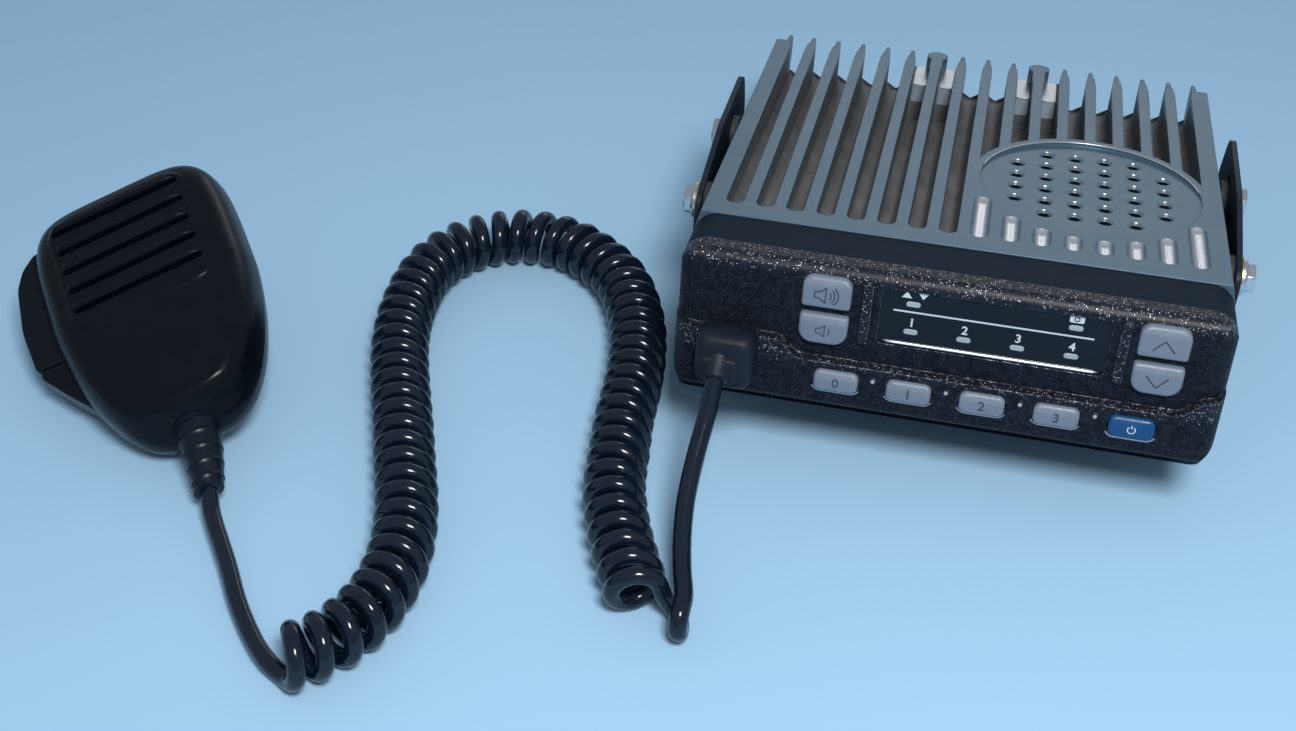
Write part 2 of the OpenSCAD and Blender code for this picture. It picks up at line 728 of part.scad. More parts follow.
module front_bezel() {
    color([0.13, 0.13, 0.14]) on_radio() difference() {
        union() {
            difference() {
                union() {
                    bezel_block(face_y);
                    intersection() {
                        bezel_block(chin_y);
                        chin_region();
                    }
                    // Ribs that stand beside the window
                    for (s = [-1, 1]) translate([window_x + s * (window_w / 2 + rib_x), face_y, window_z])
                        rotate([90, 0, 0]) linear_extrude(1) rrect(rib_w, window_h - 1, 0.8);
                    for (i = [0 : 3]) translate([(small_key_x(i) + small_key_x(i + 1)) / 2, chin_y, small_key_z + 1.6])
                        rotate([90, 0, 0]) cylinder(d1 = 2, d2 = 1.2, h = 0.6);
                }
                front_extrude(1, inner_y) panel_outline(bezel_wall);
                translate([-body_w / 2 + 6, chin_inner_y, chin_lo]) cube([body_w - 12, 8, chin_hi - chin_lo]);
            }
            for (x = [-1, 1], z = [-1, 1])
                translate([x * front_post_x, front_board_y, panel_mid + z * (panel_h / 2 - 5)])
                    rotate([90, 0, 0]) cylinder(d = 5, h = front_board_y - inner_y + 1);
        }
        // Window: a seat from behind and a smaller opening in front
        translate([window_x, 0, window_z]) {
            front_extrude(0, face_y + window_sink) rrect(window_w + 2 * seat_gap, window_h + 2 * seat_gap, 2);
            front_extrude(0, face_y - 2) rrect(window_w - 2 * window_lip, window_h - 2 * window_lip, 1.5);
        }
        for (x = [volume_x, channel_x]) {
            translate([x, 0, upper_key_z]) front_extrude(0, face_y - 2) upper_outline(slide_gap);
            translate([x, 0, lower_key_z]) front_extrude(0, face_y - 4) lower_outline(slide_gap);
        }
        for (i = [0 : 4]) translate([small_key_x(i), 0, small_key_z])
            front_extrude(0, chin_y - 2) small_outline(slide_gap);
        translate([jack_x, 0, jack_z]) front_extrude(0, chin_y - 2) square([jack_w + 2 * seat_gap,
            jack_h + 2 * seat_gap], center = true);
    }
}

module display_window() {
    color([0.05, 0.05, 0.06]) on_radio() translate([window_x, 0, window_z])
        front_extrude(face_y + window_sink + window_t, face_y + window_sink) rrect(window_w, window_h, 2);
}

light_spots = concat(
    [for (i = [0 : 3]) [window_x + (i - 1.5) * light_pitch, light_low_z]],
    [for (s = [-1.5, 1.5]) [window_x + s * light_pitch, light_high_z]]);

// Light pipes from the front board up to the back of the window
module indicator_lights() {
    color("lightgray") on_radio() for (p = light_spots) translate([p.x, 0, p.y])
        front_extrude(front_board_y, face_y + window_sink + window_t) square([light_w, light_h], center = true);
}

// A key cap with a crowned top and the flange that holds it behind its face
module key_body(face, back, inside) {
    front_extrude(inside, face - key_rise + 0.8) children(0);
    hull() {
        front_extrude(face - key_rise + 0.9, face - key_rise + 0.8) children(0);
        front_extrude(face - key_rise + 0.1, face - key_rise) children(1);
    }
    front_extrude(inside + key_flange_t, inside) children(2);
    if (back > inside + key_flange_t) front_extrude(back, inside) children(1);
}

module upper_key(x) on_radio() translate([x, 0, upper_key_z]) key_body(face_y, key_back_y, inner_y) {
    upper_outline();
    upper_outline(-0.8);
    flange_outline(upper_key_h);
}
module lower_key(x) on_radio() translate([x, 0, lower_key_z]) key_body(face_y, key_back_y, inner_y) {
    lower_outline();
    lower_outline(-0.8);
    flange_outline(lower_key_h);
}
module small_key(i) on_radio() translate([small_key_x(i), 0, small_key_z])
    key_body(chin_y + 0.6, key_back_y, chin_inner_y) {
        small_outline();
        small_outline(-0.8);
        small_outline(key_flange);
    }

module volume_up_key() color("lightgray") upper_key(volume_x);
module volume_down_key() color("lightgray") lower_key(volume_x);
module channel_up_key() color("lightgray") upper_key(channel_x);
module channel_down_key() color("lightgray") lower_key(channel_x);
module function_key_0() color("lightgray") small_key(0);
module function_key_1() color("lightgray") small_key(1);
module function_key_2() color("lightgray") small_key(2);
module function_key_3() color("lightgray") small_key(3);
module power_key() color("royalblue") small_key(4);

// The sheet stays clear of the posts, the lights and the jack
module keypad_mat() {
    color("dimgray") on_radio() difference() {
        front_extrude(front_board_y, mat_y) translate([0, panel_mid])
            square([body_w - 2 * shell_t - 4, panel_h - 2 * shell_t - 3], center = true);
        for (x = [-1, 1], z = [-1, 1])
            translate([x * front_post_x, front_board_y + 1, panel_mid + z * (panel_h / 2 - 5)])
                rotate([90, 0, 0]) cylinder(d = 7, h = 10);
        translate([window_x, 0, window_z]) front_extrude(0, face_y) square([window_w - 8, window_h], center = true);
        translate([jack_x, 0, jack_z]) front_extrude(0, face_y) square([jack_w + 2, jack_h + 2], center = true);
    }
}

module front_board() {
    color("darkgreen") on_radio() front_extrude(front_board_y + board_t, front_board_y)
        translate([0, panel_mid]) square([body_w - 2 * shell_t - 4, panel_h - 2 * shell_t - 3], center = true);
}

module microphone_jack() {
    color("black") on_radio() translate([jack_x, 0, jack_z]) difference() {
        front_extrude(front_board_y, chin_y + 0.3) square([jack_w, jack_h], center = true);
        front_extrude(front_board_y - 1, chin_y - 1) square([plug_w + 2 * seat_gap, plug_h + 2 * seat_gap], center = true);
    }
}

// Plug and boot

module modular_plug() {
    color("whitesmoke") on_radio() translate([jack_x, 0, jack_z])
        front_extrude(front_board_y - 1.2, front_board_y - 1.2 - plug_len) square([plug_w, plug_h], center = true);
}

function boot_section(y, grow) =
    let (pts = rounded([[-1, -1], [1, -1], [1, 1], [-1, 1]], [0.35, 0.35, 0.35, 0.35]))
    [for (p = pts) [jack_x + p.x * (boot_w / 2 + grow), y, jack_z + 0.7 + p.y * (boot_h / 2 + grow)]];

nozzle_dir = [0, -cos(lead_drop + tilt), -sin(lead_drop + tilt)];
nozzle_tip = nozzle_start + nozzle_len * nozzle_dir;

module plug_boot() {
    color([0.1, 0.1, 0.11]) on_radio() difference() {
        union() {
            loft([boot_section(boot_y, 0), boot_section(boot_y - boot_d + 2.5, -0.5),
                boot_section(boot_y - boot_d + 0.7, -1.4), boot_section(boot_y - boot_d, -2.8)]);
            translate(nozzle_start) rotate([90 + lead_drop + tilt, 0, 0]) {
                translate([0, 0, -3]) cylinder(d1 = nozzle_d + 2, d2 = nozzle_d, h = 3 + eps);
                cylinder(d1 = nozzle_d, d2 = nozzle_d - 2, h = nozzle_len);
            }
        }
        translate([jack_x, 0, jack_z]) front_extrude(0, front_board_y - 1.2 - plug_len - seat_gap)
            square([plug_w + 2 * seat_gap, plug_h + 2 * seat_gap], center = true);
    }
}

// Bracket

arm_side = rounded(
    [[-bracket_len / 2, -1], [bracket_len / 2, -1], [bracket_len / 2, arm_h - 16], [bracket_len / 2 - 4, arm_h - 2.5],
     [6, arm_h + 0.5], [pivot_wy - 9, arm_h - 4.5], [pivot_wy - 11, pivot_up - 8], [-bracket_len / 2, 16]],
    [0, 0, 8, 7, 30, 5, 10, 8]);

module bracket_slot() {
    intersection() {
        difference() {
            circle(slot_r + bolt_d / 2 + slot_gap);
            circle(slot_r - bolt_d / 2 - slot_gap);
        }
        polygon([[0, 0], 2 * slot_r * [cos(slot_from), sin(slot_from)], 2 * slot_r * [cos(slot_to), sin(slot_to)]]);
    }
    for (a = [slot_from, slot_to])
        translate(slot_r * [cos(a), sin(a)]) circle(bolt_d / 2 + slot_gap);
}

module mounting_bracket() {
    color([0.12, 0.12, 0.13]) difference() {
        intersection() {
            front_extrude(bracket_len, -bracket_len) difference() {
                polygon(rounded(
                    [[-arm_x - bracket_t, 0], [arm_x + bracket_t, 0], [arm_x + bracket_t, 2 * arm_h],
                     [-arm_x - bracket_t, 2 * arm_h]], [bend_r, bend_r, 0, 0]));
                polygon(rounded(
                    [[-arm_x, bracket_t], [arm_x, bracket_t], [arm_x, 3 * arm_h], [-arm_x, 3 * arm_h]],
                    [bend_r - bracket_t, bend_r - bracket_t, 0, 0]));
            }
            side_extrude(3 * body_w) polygon(arm_side);
        }
        translate([0, pivot_wy, pivot_up]) rotate([0, 90, 0])
            cylinder(d = bolt_d + 2 * pin_gap, h = 3 * body_w, center = true);
        translate([0, pivot_wy, pivot_up]) side_extrude(3 * body_w) bracket_slot();
        for (x = [-1, 1], y = [-1, 1]) translate([x * mount_x / 2, y * mount_y / 2, -1])
            cylinder(d = mount_hole_d, h = bracket_t + 2);
        translate([0, 0, -1]) linear_extrude(bracket_t + 2) rrect(64, 34, 6);
    }
}

module flange_bolt() {
    out = washer_t + bracket_t + spring_t;
    translate([-bolt_len_in, 0, 0]) rotate([0, 90, 0]) cylinder(d = bolt_d, h = bolt_len_in + out + flange_t);
    translate([out, 0, 0]) rotate([0, 90, 0]) {
        cylinder(d = flange_d, h = flange_t);
        cylinder(d = hex_af / cos(30), h = flange_t + hex_t, $fn = 6);
        cylinder(d = hex_af - 1, h = flange_t + hex_t + 0.5);
    }
}

module at_bolts(list) {
    for (b = list, s = [0, 1]) mirror([s, 0, 0]) translate([body_w / 2, b.x, b.y]) children();
}

module pivot_bolts() color("silver") on_radio() at_bolts([bracket_bolts[0]]) flange_bolt();
module slot_bolts() color("silver") on_radio() at_bolts([bracket_bolts[1]]) flange_bolt();

module friction_washers() {
    color("dimgray") on_radio() at_bolts(bracket_bolts) rotate([0, 90, 0]) difference() {
        cylinder(d = bolt_d + 7, h = washer_t);
        translate([0, 0, -1]) cylinder(d = bolt_d + 2 * seat_gap, h = washer_t + 2);
    }
}

module spring_washers() {
    color("goldenrod") on_radio() at_bolts(bracket_bolts) translate([washer_t + bracket_t, 0, 0])
        rotate([0, 90, 0]) difference() {
            cylinder(d = flange_d + 1.5, h = spring_t);
            translate([0, 0, -1]) cylinder(d = bolt_d + 2 * seat_gap, h = spring_t + 2);
        }
}

// Microphone

// Outline of the shells: a squarish oval, squarer at the top, that narrows below the middle
function mic_taper_at(y) = y > 5 ? 1 : 1 - mic_taper * pow((5 - y) / (mic_h / 2 + 5), 1.5);
function spow(v, e) = sign(v) * pow(abs(v), e);
function mic_outline(inset) =
    [for (i = [0 : mic_n - 1])
        let (a = 360 * (i + 0.5) / mic_n, e = 2 / (sin(a) > 0 ? mic_top_power : mic_low_power),
             y = (mic_h / 2 - inset) * spow(sin(a), e))
        [(mic_w / 2 - inset) * mic_taper_at(y) * spow(cos(a), e), y]];
function mic_section(z, inset) = [for (p = mic_outline(inset)) [p.x, p.y, z]];
// The rear shell gets thinner towards the cord
function rear_section(z, inset) =
    [for (p = mic_outline(inset))
        let (thin = 1 - mic_thin * min(1, max(0, (mic_thin_from - p.y) / (mic_h / 2 + mic_thin_from))), top = -mic_front_t - mic_seam)
        [p.x, p.y, top + (z - top) * thin]];

// The talk key bulges from the left side, and a fairing below it leads back to the shells
ptt_back = pocket_x - ptt_play;
ptt_shape = rounded(
    [[ptt_back, -8], [-30.4, -8], [-31.2, -2.2], [-39.6, -1.6], [-40.6, 14], [-38.6, 30], [-35.6, 36], [-31, 40],
     [ptt_back, 40]],
    [1, 1, 0.6, 1, 30, 12, 8, 2, 1]);
ptt_pocket = [[pocket_x, -8.7], [pocket_x, 40.8], [-60, 40.8], [-60, -2.4], [-31.9, -2.9], [-31, -8.7]];
fairing = [[-20, -2.4], [-39.4, -2.4], [-38.2, -5.5], [-32.6, -14.2], [-26.4, -22.8], [-20, -24]];
fairing_edge = 2;

// The part of the fairing between two depths, with its outer edge bevelled
module fairing_block(lo, hi, lo_edge, hi_edge) hull() {
    translate([0, 0, lo + lo_edge]) linear_extrude(hi - lo - lo_edge - hi_edge) polygon(fairing);
    translate([0, 0, lo]) linear_extrude(hi - lo) polygon([for (p = fairing) p.x > -21 ? p : p + [fairing_edge, 0]]);
}

module ptt_pocket_cut() translate([0, 0, ptt_lo - ptt_gap]) linear_extrude(ptt_hi - ptt_lo + 2 * ptt_gap)
    polygon(ptt_pocket);

module nub_hole() translate([pocket_x - 1, nub_y, (ptt_lo + ptt_hi) / 2]) rotate([0, 90, 0])
    cylinder(d = nub_d + 1.6, h = 2 - pocket_x - rear_cavity_x);

module relief_hole() translate([0, relief_root_y, relief_z]) rotate([90, 0, 0]) {
    cylinder(d = relief_d + 2 * slide_gap, h = 20);
    translate([0, 0, relief_root_y - cavity_lo - 1])
        cylinder(d = relief_end_d + 2 * seat_gap, h = cavity_lo - relief_root_y + 3);
}

module pin_hole() translate([ptt_pin_x, ptt_pin_y, ptt_pin_lo])
    cylinder(d = ptt_pin_d + 2 * thread_gap, h = ptt_pin_hi - ptt_pin_lo);

module mic_front_shell() {
    color([0.11, 0.11, 0.12]) on_mic() difference() {
        union() {
            loft([mic_section(-mic_front_t, 0), mic_section(-8.5, 0.5), mic_section(-5, 1.6), mic_section(-2.4, 3.4),
                mic_section(-0.8, 5.3), mic_section(0, 7.5)]);
            fairing_block(-mic_front_t, ptt_hi, 0, fairing_edge);
        }
        translate([-cavity_x, cavity_lo, -mic_front_t - 1])
            cube([2 * cavity_x, cavity_hi - cavity_lo, mic_front_t + 1 - mic_wall]);
        // Shallow field round the slots
        translate([0, slot_top - 2 * mic_slot_pitch, -0.8]) linear_extrude(2)
            rrect(mic_slot_l + 4, mic_slot_pitch * 4 + 10, 5);
        for (i = [0 : 4]) translate([0, slot_top - i * mic_slot_pitch, -mic_wall - 1]) linear_extrude(mic_wall + 2)
            rrect(mic_slot_l, mic_slot_h, mic_slot_h / 2 - eps);
        ptt_pocket_cut();
        nub_hole();
        relief_hole();
        pin_hole();
    }
}

rear_floor = -mic_front_t - mic_rear_t + mic_wall + 5;

module mic_rear_shell() {
    color([0.11, 0.11, 0.12]) on_mic() difference() {
        union() {
            difference() {
                loft([rear_section(-mic_front_t - mic_rear_t, 10.5), rear_section(-mic_front_t - mic_rear_t + 3, 6),
                    rear_section(-mic_front_t - mic_rear_t + 7, 2.4), rear_section(-mic_front_t - 5, 0.6),
                    rear_section(-mic_front_t - mic_seam, 0)], strips = true);
                translate([-rear_cavity_x, rear_cavity_lo, rear_floor])
                    cube([2 * rear_cavity_x, rear_cavity_hi - rear_cavity_lo, mic_rear_t]);
            }
            fairing_block(ptt_lo, -mic_front_t - mic_seam, fairing_edge, 0);
            for (x = [-1, 1], y = [-1, 1]) translate([x * 7, 6 + y * 20, rear_floor - 1])
                cylinder(d = 5, h = mic_board_z - mic_board_t - rear_floor + 1);
        }
        ptt_pocket_cut();
        nub_hole();
        relief_hole();
        pin_hole();
        hanger_hole();
        mic_screw_holes();
    }
}

module ptt_key() {
    color([0.1, 0.1, 0.11]) on_mic() difference() {
        union() {
            translate([0, 0, ptt_lo]) linear_extrude(ptt_hi - ptt_lo) polygon(ptt_shape);
            translate([pocket_x - 4, nub_y, (ptt_lo + ptt_hi) / 2]) rotate([0, 90, 0]) cylinder(d = nub_d, h = 4 - pocket_x - rear_cavity_x - nub_play);
        }
        translate([ptt_pin_x, ptt_pin_y, ptt_lo - 1]) cylinder(d = ptt_pin_d + 2 * pin_gap, h = 20);
    }
}

module ptt_pin() {
    color("silver") on_mic() translate([ptt_pin_x, ptt_pin_y, ptt_pin_lo])
        cylinder(d = ptt_pin_d, h = ptt_pin_hi - ptt_pin_lo);
}

module ptt_switch() {
    color("black") on_mic() translate([-rear_cavity_x + 0.2, nub_y - 4, mic_board_z - mic_board_t - 6])
        cube([6, 8, 6]);
}

module mic_board() {
    color("darkgreen") on_mic() translate([-cavity_x + 1, cavity_lo + 4, mic_board_z - mic_board_t])
        cube([2 * cavity_x - 2, cavity_hi - cavity_lo - 8, mic_board_t]);
}

module mic_capsule() {
    color("silver") on_mic() translate([0, slot_top - 1.5 * mic_slot_pitch, mic_board_z])
        cylinder(d = 9.7, h = mic_front_t - 6);
}

module mic_strain_relief() {
    step = relief_len / (2 * relief_ribs + 1);
    fall = (relief_d - relief_end_d) / relief_ribs;
    color([0.1, 0.1, 0.11]) on_mic() translate([0, relief_root_y, relief_z]) rotate([90, 0, 0]) {
        translate([0, 0, -10]) cylinder(d = relief_end_d, h = 10 + step);
        cylinder(d1 = relief_d - 2.4, d2 = relief_end_d - 1.8, h = relief_len);
        for (i = [0 : relief_ribs]) translate([0, 0, 2 * i * step])
            cylinder(d1 = relief_d - i * fall, d2 = relief_d - (i + 0.3) * fall, h = step);
    }
}

module hanger_hole() translate([0, hanger_y, -mic_front_t - mic_rear_t - 1])
    cylinder(d = 3 + 2 * thread_gap, h = 10);

module hanger_button() {
    color("silver") on_mic() translate([0, hanger_y, -mic_front_t - mic_rear_t]) mirror([0, 0, 1]) {
        translate([0, 0, -5]) cylinder(d = 3, h = 6);
        rotate_extrude() polygon([[0, 0], [4.5, 0], [4.5, hanger_h - 2.6], [hanger_d / 2, hanger_h - 2.6],
            [hanger_d / 2, hanger_h - 0.8], [hanger_d / 2 - 0.8, hanger_h], [0, hanger_h]]);
    }
}

mic_screw_spots = [[-12, -34, 23], [12, -34, 23], [0, 36, 29]];
module mic_screw_holes() for (p = mic_screw_spots) translate([p.x, p.y, -p.z - 1])
    cylinder(d = mic_screw_d + 2 * thread_gap, h = 9);
module mic_screws() {
    color("silver") on_mic() for (p = mic_screw_spots) translate([p.x, p.y, -p.z + 1.4])
        cylinder(d = mic_screw_d, h = 6);
}

// Cord

// Smooth curve through points, by the Catmull-Rom formula; u runs from 0 to len - 1
function spline_at(p, u) =
    let (n = len(p) - 1, k = min(n - 1, max(0, floor(u))), t = u - k,
         b = p[k], c = p[k + 1],
         a = k > 0 ? p[k - 1] : 2 * b - c,
         d = k < n - 1 ? p[k + 2] : 2 * c - b)
    0.5 * (2 * b + (c - a) * t + (2 * a - 5 * b + 4 * c - d) * t * t + (3 * b - a - 3 * c + d) * t * t * t);

axis_steps = 12;
axis_count = (len(coil_axis) - 1) * axis_steps;
axis_points = [for (i = [0 : axis_count]) spline_at(coil_axis, i / axis_steps)];
axis_table = [for (i = 0, s = 0; i <= axis_count;
    s = s + (i < axis_count ? norm(axis_points[i + 1] - axis_points[i]) : 0), i = i + 1) [s, i / axis_steps]];
axis_length = axis_table[axis_count][0];

// One point of the helix, s mm along the axis; the curls turn clockwise along the way
function curl_at(s, turn) =
    let (u = lookup(s, axis_table), c = spline_at(coil_axis, u),
         ahead = spline_at(coil_axis, min(len(coil_axis) - 1, u + 0.02)),
         behind = spline_at(coil_axis, max(0, u - 0.02)),
         t = unit(ahead - behind), a = coil_start_phase - 360 * turn)
    [c.x - t.y * coil_r * cos(a), c.y + t.x * coil_r * cos(a), coil_z + coil_r * sin(a)];

ring_count = round(coil_turns * curl_rings);
curls = [for (i = [0 : ring_count]) curl_at(axis_length * i / ring_count, i / curl_rings)];

lead_start = radio_point(nozzle_tip);
lead_dir = radio_turn(nozzle_dir);
relief_tip = mic_pos + mic_turn([0, relief_root_y - relief_len, relief_z]);
relief_dir = mic_turn([0, -1, 0]);

control = concat(
    [lead_start, lead_start + cord_d * lead_dir, lead_start + 2 * cord_d * lead_dir],
    radio_lead_free, radio_loop, curls, mic_loop, mic_lead_free,
    [relief_tip + 2 * cord_d * relief_dir, relief_tip + cord_d * relief_dir, relief_tip]);
lead_steps = 2;
i_coil = 2 + len(radio_lead_free);
i_curl = i_coil + len(radio_loop) + 1;
i_curl_end = i_curl + ring_count;
i_mic = i_curl_end + len(mic_loop);
route = concat(
    [for (k = [0 : i_curl * lead_steps - 1]) spline_at(control, k / lead_steps)],
    [for (k = [i_curl : i_curl_end]) control[k]],
    [for (k = [1 : (len(control) - 1 - i_curl_end) * lead_steps]) spline_at(control, i_curl_end + k / lead_steps)]);
r_coil = i_coil * lead_steps;
r_curl = i_curl * lead_steps;
r_mic = r_curl + ring_count + (i_mic - i_curl_end) * lead_steps;
r_end = len(route) - 1;

tangents = [for (i = [0 : r_end])
    i == 0 ? lead_dir : i == r_end ? -relief_dir : unit(route[i + 1] - route[i - 1])];
function squared(n, t) = unit(n - (n * t) * t);
normals = [for (i = 0, n = squared([1, 0, 0], tangents[0]); i <= r_end;
    i = i + 1, n = i <= r_end ? squared(n, tangents[i]) : n) n];

function tube_ring(i, sides) = [for (j = [0 : sides - 1])
    let (a = 360 * j / sides)
    route[i] + cord_d / 2 * (cos(a) * normals[i] + sin(a) * cross(tangents[i], normals[i]))];
module tube(from, to, sides) loft([for (i = [to : -1 : from]) tube_ring(i, sides)]);

module radio_lead() color([0.09, 0.09, 0.1]) tube(0, r_coil, 8);
module curly_cord() color([0.09, 0.09, 0.1]) tube(r_coil, r_mic, 6);
module microphone_lead() color([0.09, 0.09, 0.1]) tube(r_mic, r_end, 8);

cord_gap = min([for (i = [0 : r_end], j = [i + 5 : r_end]) norm(route[i] - route[j])]) - cord_d;
cord_length = sum([for (i = [1 : r_end]) norm(route[i] - route[i - 1])]);
echo(least_cord_gap = cord_gap, cord_length = cord_length, axis_length = axis_length);

heatsink_chassis();
bottom_cover();
bottom_screws();
front_housing();
front_bezel();
panel_screws();
display_window();
indicator_lights();
volume_up_key();
volume_down_key();
channel_up_key();
channel_down_key();
function_key_0();
function_key_1();
function_key_2();
function_key_3();
power_key();
keypad_mat();
front_board();
microphone_jack();
main_board();
board_screws();
power_module();
shield_can();
speaker_frame();
speaker_cone();
speaker_magnet();
antenna_socket();
power_inlet();
speaker_jack();
mounting_bracket();
pivot_bolts();
slot_bolts();
friction_washers();
spring_washers();
plug_boot();
modular_plug();
radio_lead();
curly_cord();
microphone_lead();
mic_strain_relief();
mic_front_shell();
mic_rear_shell();
ptt_key();
ptt_pin();
ptt_switch();
mic_board();
mic_capsule();
hanger_button();
mic_screws();
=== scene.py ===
"""Looks of the mobile transceiver: its finishes, printed marks, curly cord, microphone and stage.

Lengths inside the shape functions are millimetres in the radio's or the microphone's own frame;
on_radio and on_mic turn them into metres in the part's shared frame.
"""

import math

import bmesh
import bpy
import numpy as np
from bpy.props import FloatProperty, FloatVectorProperty, IntProperty, PointerProperty
from mathutils import Euler, Matrix, Vector


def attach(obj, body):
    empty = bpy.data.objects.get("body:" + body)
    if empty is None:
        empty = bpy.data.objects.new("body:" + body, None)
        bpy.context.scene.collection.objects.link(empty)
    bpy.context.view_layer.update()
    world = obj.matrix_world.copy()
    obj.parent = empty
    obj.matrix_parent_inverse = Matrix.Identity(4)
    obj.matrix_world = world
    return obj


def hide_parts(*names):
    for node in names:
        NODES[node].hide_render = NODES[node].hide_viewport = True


bl_info = {
    "name": "Mobile transceiver looks",
    "version": (1, 0, 0),
    "blender": (4, 5, 0),
    "location": "3D View > Sidebar > Transceiver",
    "description": "Dresses the packed mobile transceiver with finishes, marks, its cord and a stage",
    "category": "Object",
}

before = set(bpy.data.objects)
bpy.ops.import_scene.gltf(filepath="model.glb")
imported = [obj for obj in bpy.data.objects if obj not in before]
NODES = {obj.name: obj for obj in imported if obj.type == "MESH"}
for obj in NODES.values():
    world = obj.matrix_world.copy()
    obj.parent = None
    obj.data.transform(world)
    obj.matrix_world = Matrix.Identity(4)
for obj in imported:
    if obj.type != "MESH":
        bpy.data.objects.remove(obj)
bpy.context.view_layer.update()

# frames of the radio and the microphone, in mm and radians

MM_IN_M = 1000.0
TILT = math.radians(8.0)
PIVOT = np.array([0.0, 30.0, 30.0])
PIVOT_IN_BRACKET = np.array([0.0, -20.0, 49.0])
MIC_ROLL, MIC_PITCH, MIC_HEADING = np.radians((20.0, 15.5, 37.0))
MIC_PLACE = np.array([-229.8, -87.9, 35.6])

# heat sink: height of its lands, cooling grooves, and the round leaning field of the loudspeaker

LAND = 42.0
GROOVE_COUNT, GROOVE_PITCH, GROOVE_RADIUS = 16, 8.7, 2.6
GROOVE_FRONT, GROOVE_BACK = 7.5, 144.9
GROOVE_FLOOR, GROOVE_FALL, GROOVE_RUN = 34, 7, 138.5
FIELD_X, FIELD_Y, FIELD_RADIUS = 35, 51, 35.0
FIELD_FRONT, FIELD_RUN, FIELD_TOP, FIELD_FALL = 18.5, 65, 41.95, 1.2

# front unit: face of the window, and the row of keys along the chin

WINDOW_FRONT = -21.7
CHIN_KEYS, CHIN_Z = -28.2 + 20.1 * np.arange(5), 8.2


# places

def on_radio(p):
    """Radio frame in mm to the shared frame in m: the nose tips up by TILT about the pivot bolts."""
    q = np.asarray(p, float) - PIVOT
    c, s = math.cos(TILT), math.sin(TILT)
    tipped = np.stack([q[..., 0], q[..., 1] * c + q[..., 2] * s, q[..., 2] * c - q[..., 1] * s], -1)
    return (tipped + PIVOT_IN_BRACKET) / MM_IN_M


def on_mic(p):
    """Microphone frame in mm to the shared frame in m: a roll, a pitch and a heading about its own middle."""
    q = np.asarray(p, float)
    x = q[..., 0] * np.cos(MIC_ROLL) - q[..., 2] * np.sin(MIC_ROLL)
    h = q[..., 0] * np.sin(MIC_ROLL) + q[..., 2] * np.cos(MIC_ROLL)
    y = q[..., 1] * np.cos(MIC_PITCH) - h * np.sin(MIC_PITCH)
    z = q[..., 1] * np.sin(MIC_PITCH) + h * np.cos(MIC_PITCH)
    turned = np.stack([x * np.cos(MIC_HEADING) - y * np.sin(MIC_HEADING),
                       x * np.sin(MIC_HEADING) + y * np.cos(MIC_HEADING), z], -1)
    return (turned + MIC_PLACE) / MM_IN_M


def upright(p):
    """A shape turned about the first axis, stood up so that this axis becomes the height."""
    return np.stack([p[..., 1], p[..., 2], p[..., 0]], -1)


# meshes, with the distances in m within which points are merged and slivers dropped

WELD, SLIVER = 2e-7, 1e-7


def grid_faces(n, m, wrap=False):
    """Quads between the points of an n by m grid, joined round along m where wrap is set."""
    i = np.arange(n - 1)[:, None] * m
    j = np.arange(m if wrap else m - 1)[None, :]
    k = (j + 1) % m
    return np.stack([i + j, i + k, i + m + k, i + m + j], -1).reshape(-1, 4)


def capped_rings(n, m):
    """Quads between n closed rings of m points, and a flat face over the first and the last ring."""
    return [*grid_faces(n, m, True), list(range(m))[::-1], list(range((n - 1) * m, n * m))]


def pinched(rings):
    """Rings closed at both ends, each by one more ring that is shrunk to the middle of its neighbour."""
    ends = [np.repeat(rings[k].mean(0)[None], rings.shape[1], 0)[None] for k in (0, -1)]
    return np.concatenate([ends[0], rings, ends[1]])


def join(*parts):
    """Several (points, faces) as one, each part's face numbers moved up by the points before it."""
    points = [np.reshape(p, (-1, 3)) for p, _ in parts]
    starts = np.cumsum([0] + [len(p) for p in points])
    faces = [[int(v) + int(s) for v in f] for (_, fs), s in zip(parts, starts) for f in fs]
    return np.concatenate(points), faces


def sweep(rings):
    """Surface through closed rings of equal point counts: a quad between two neighbours of each two rings."""
    rings = np.asarray(rings, float)
    return rings.reshape(-1, 3), grid_faces(rings.shape[0], rings.shape[1], True)


def make_piece(name, shape, material, body="radio", replaces=(), closed=True, sharp=40.0):
    """A mesh object from (points, faces) in metres that rides on a body.

    A closed one has its doubled points merged and its faces turned outwards.
    A flat mark keeps its faces' order.
    """
    points, faces = shape
    mesh = bpy.data.meshes.new(name)
    mesh.from_pydata(np.reshape(points, (-1, 3)).tolist(), [], [list(map(int, f)) for f in faces])
    if closed:
        bm = bmesh.new()
        bm.from_mesh(mesh)
        bmesh.ops.remove_doubles(bm, verts=bm.verts, dist=WELD)
        bmesh.ops.dissolve_degenerate(bm, edges=bm.edges, dist=SLIVER)
        bmesh.ops.recalc_face_normals(bm, faces=bm.faces)
        bm.to_mesh(mesh)
        bm.free()
    mesh.polygons.foreach_set("use_smooth", np.ones(len(mesh.polygons), bool))
    mesh.set_sharp_from_angle(angle=math.radians(sharp))
    mesh.materials.append(material)
    obj = bpy.data.objects.new(name, mesh)
    bpy.context.scene.collection.objects.link(obj)
    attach(obj, body)
    if replaces:
        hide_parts(*replaces)
    return obj


def dress(material, *nodes):
    """Gives CAD nodes a finish."""
    for n in nodes:
        NODES[n].data.materials.clear()
        NODES[n].data.materials.append(material)


def unit(v):
    """Directions of vectors, as vectors of length 1."""
    return v / np.maximum(np.linalg.norm(v, axis=-1, keepdims=True), 1e-12)


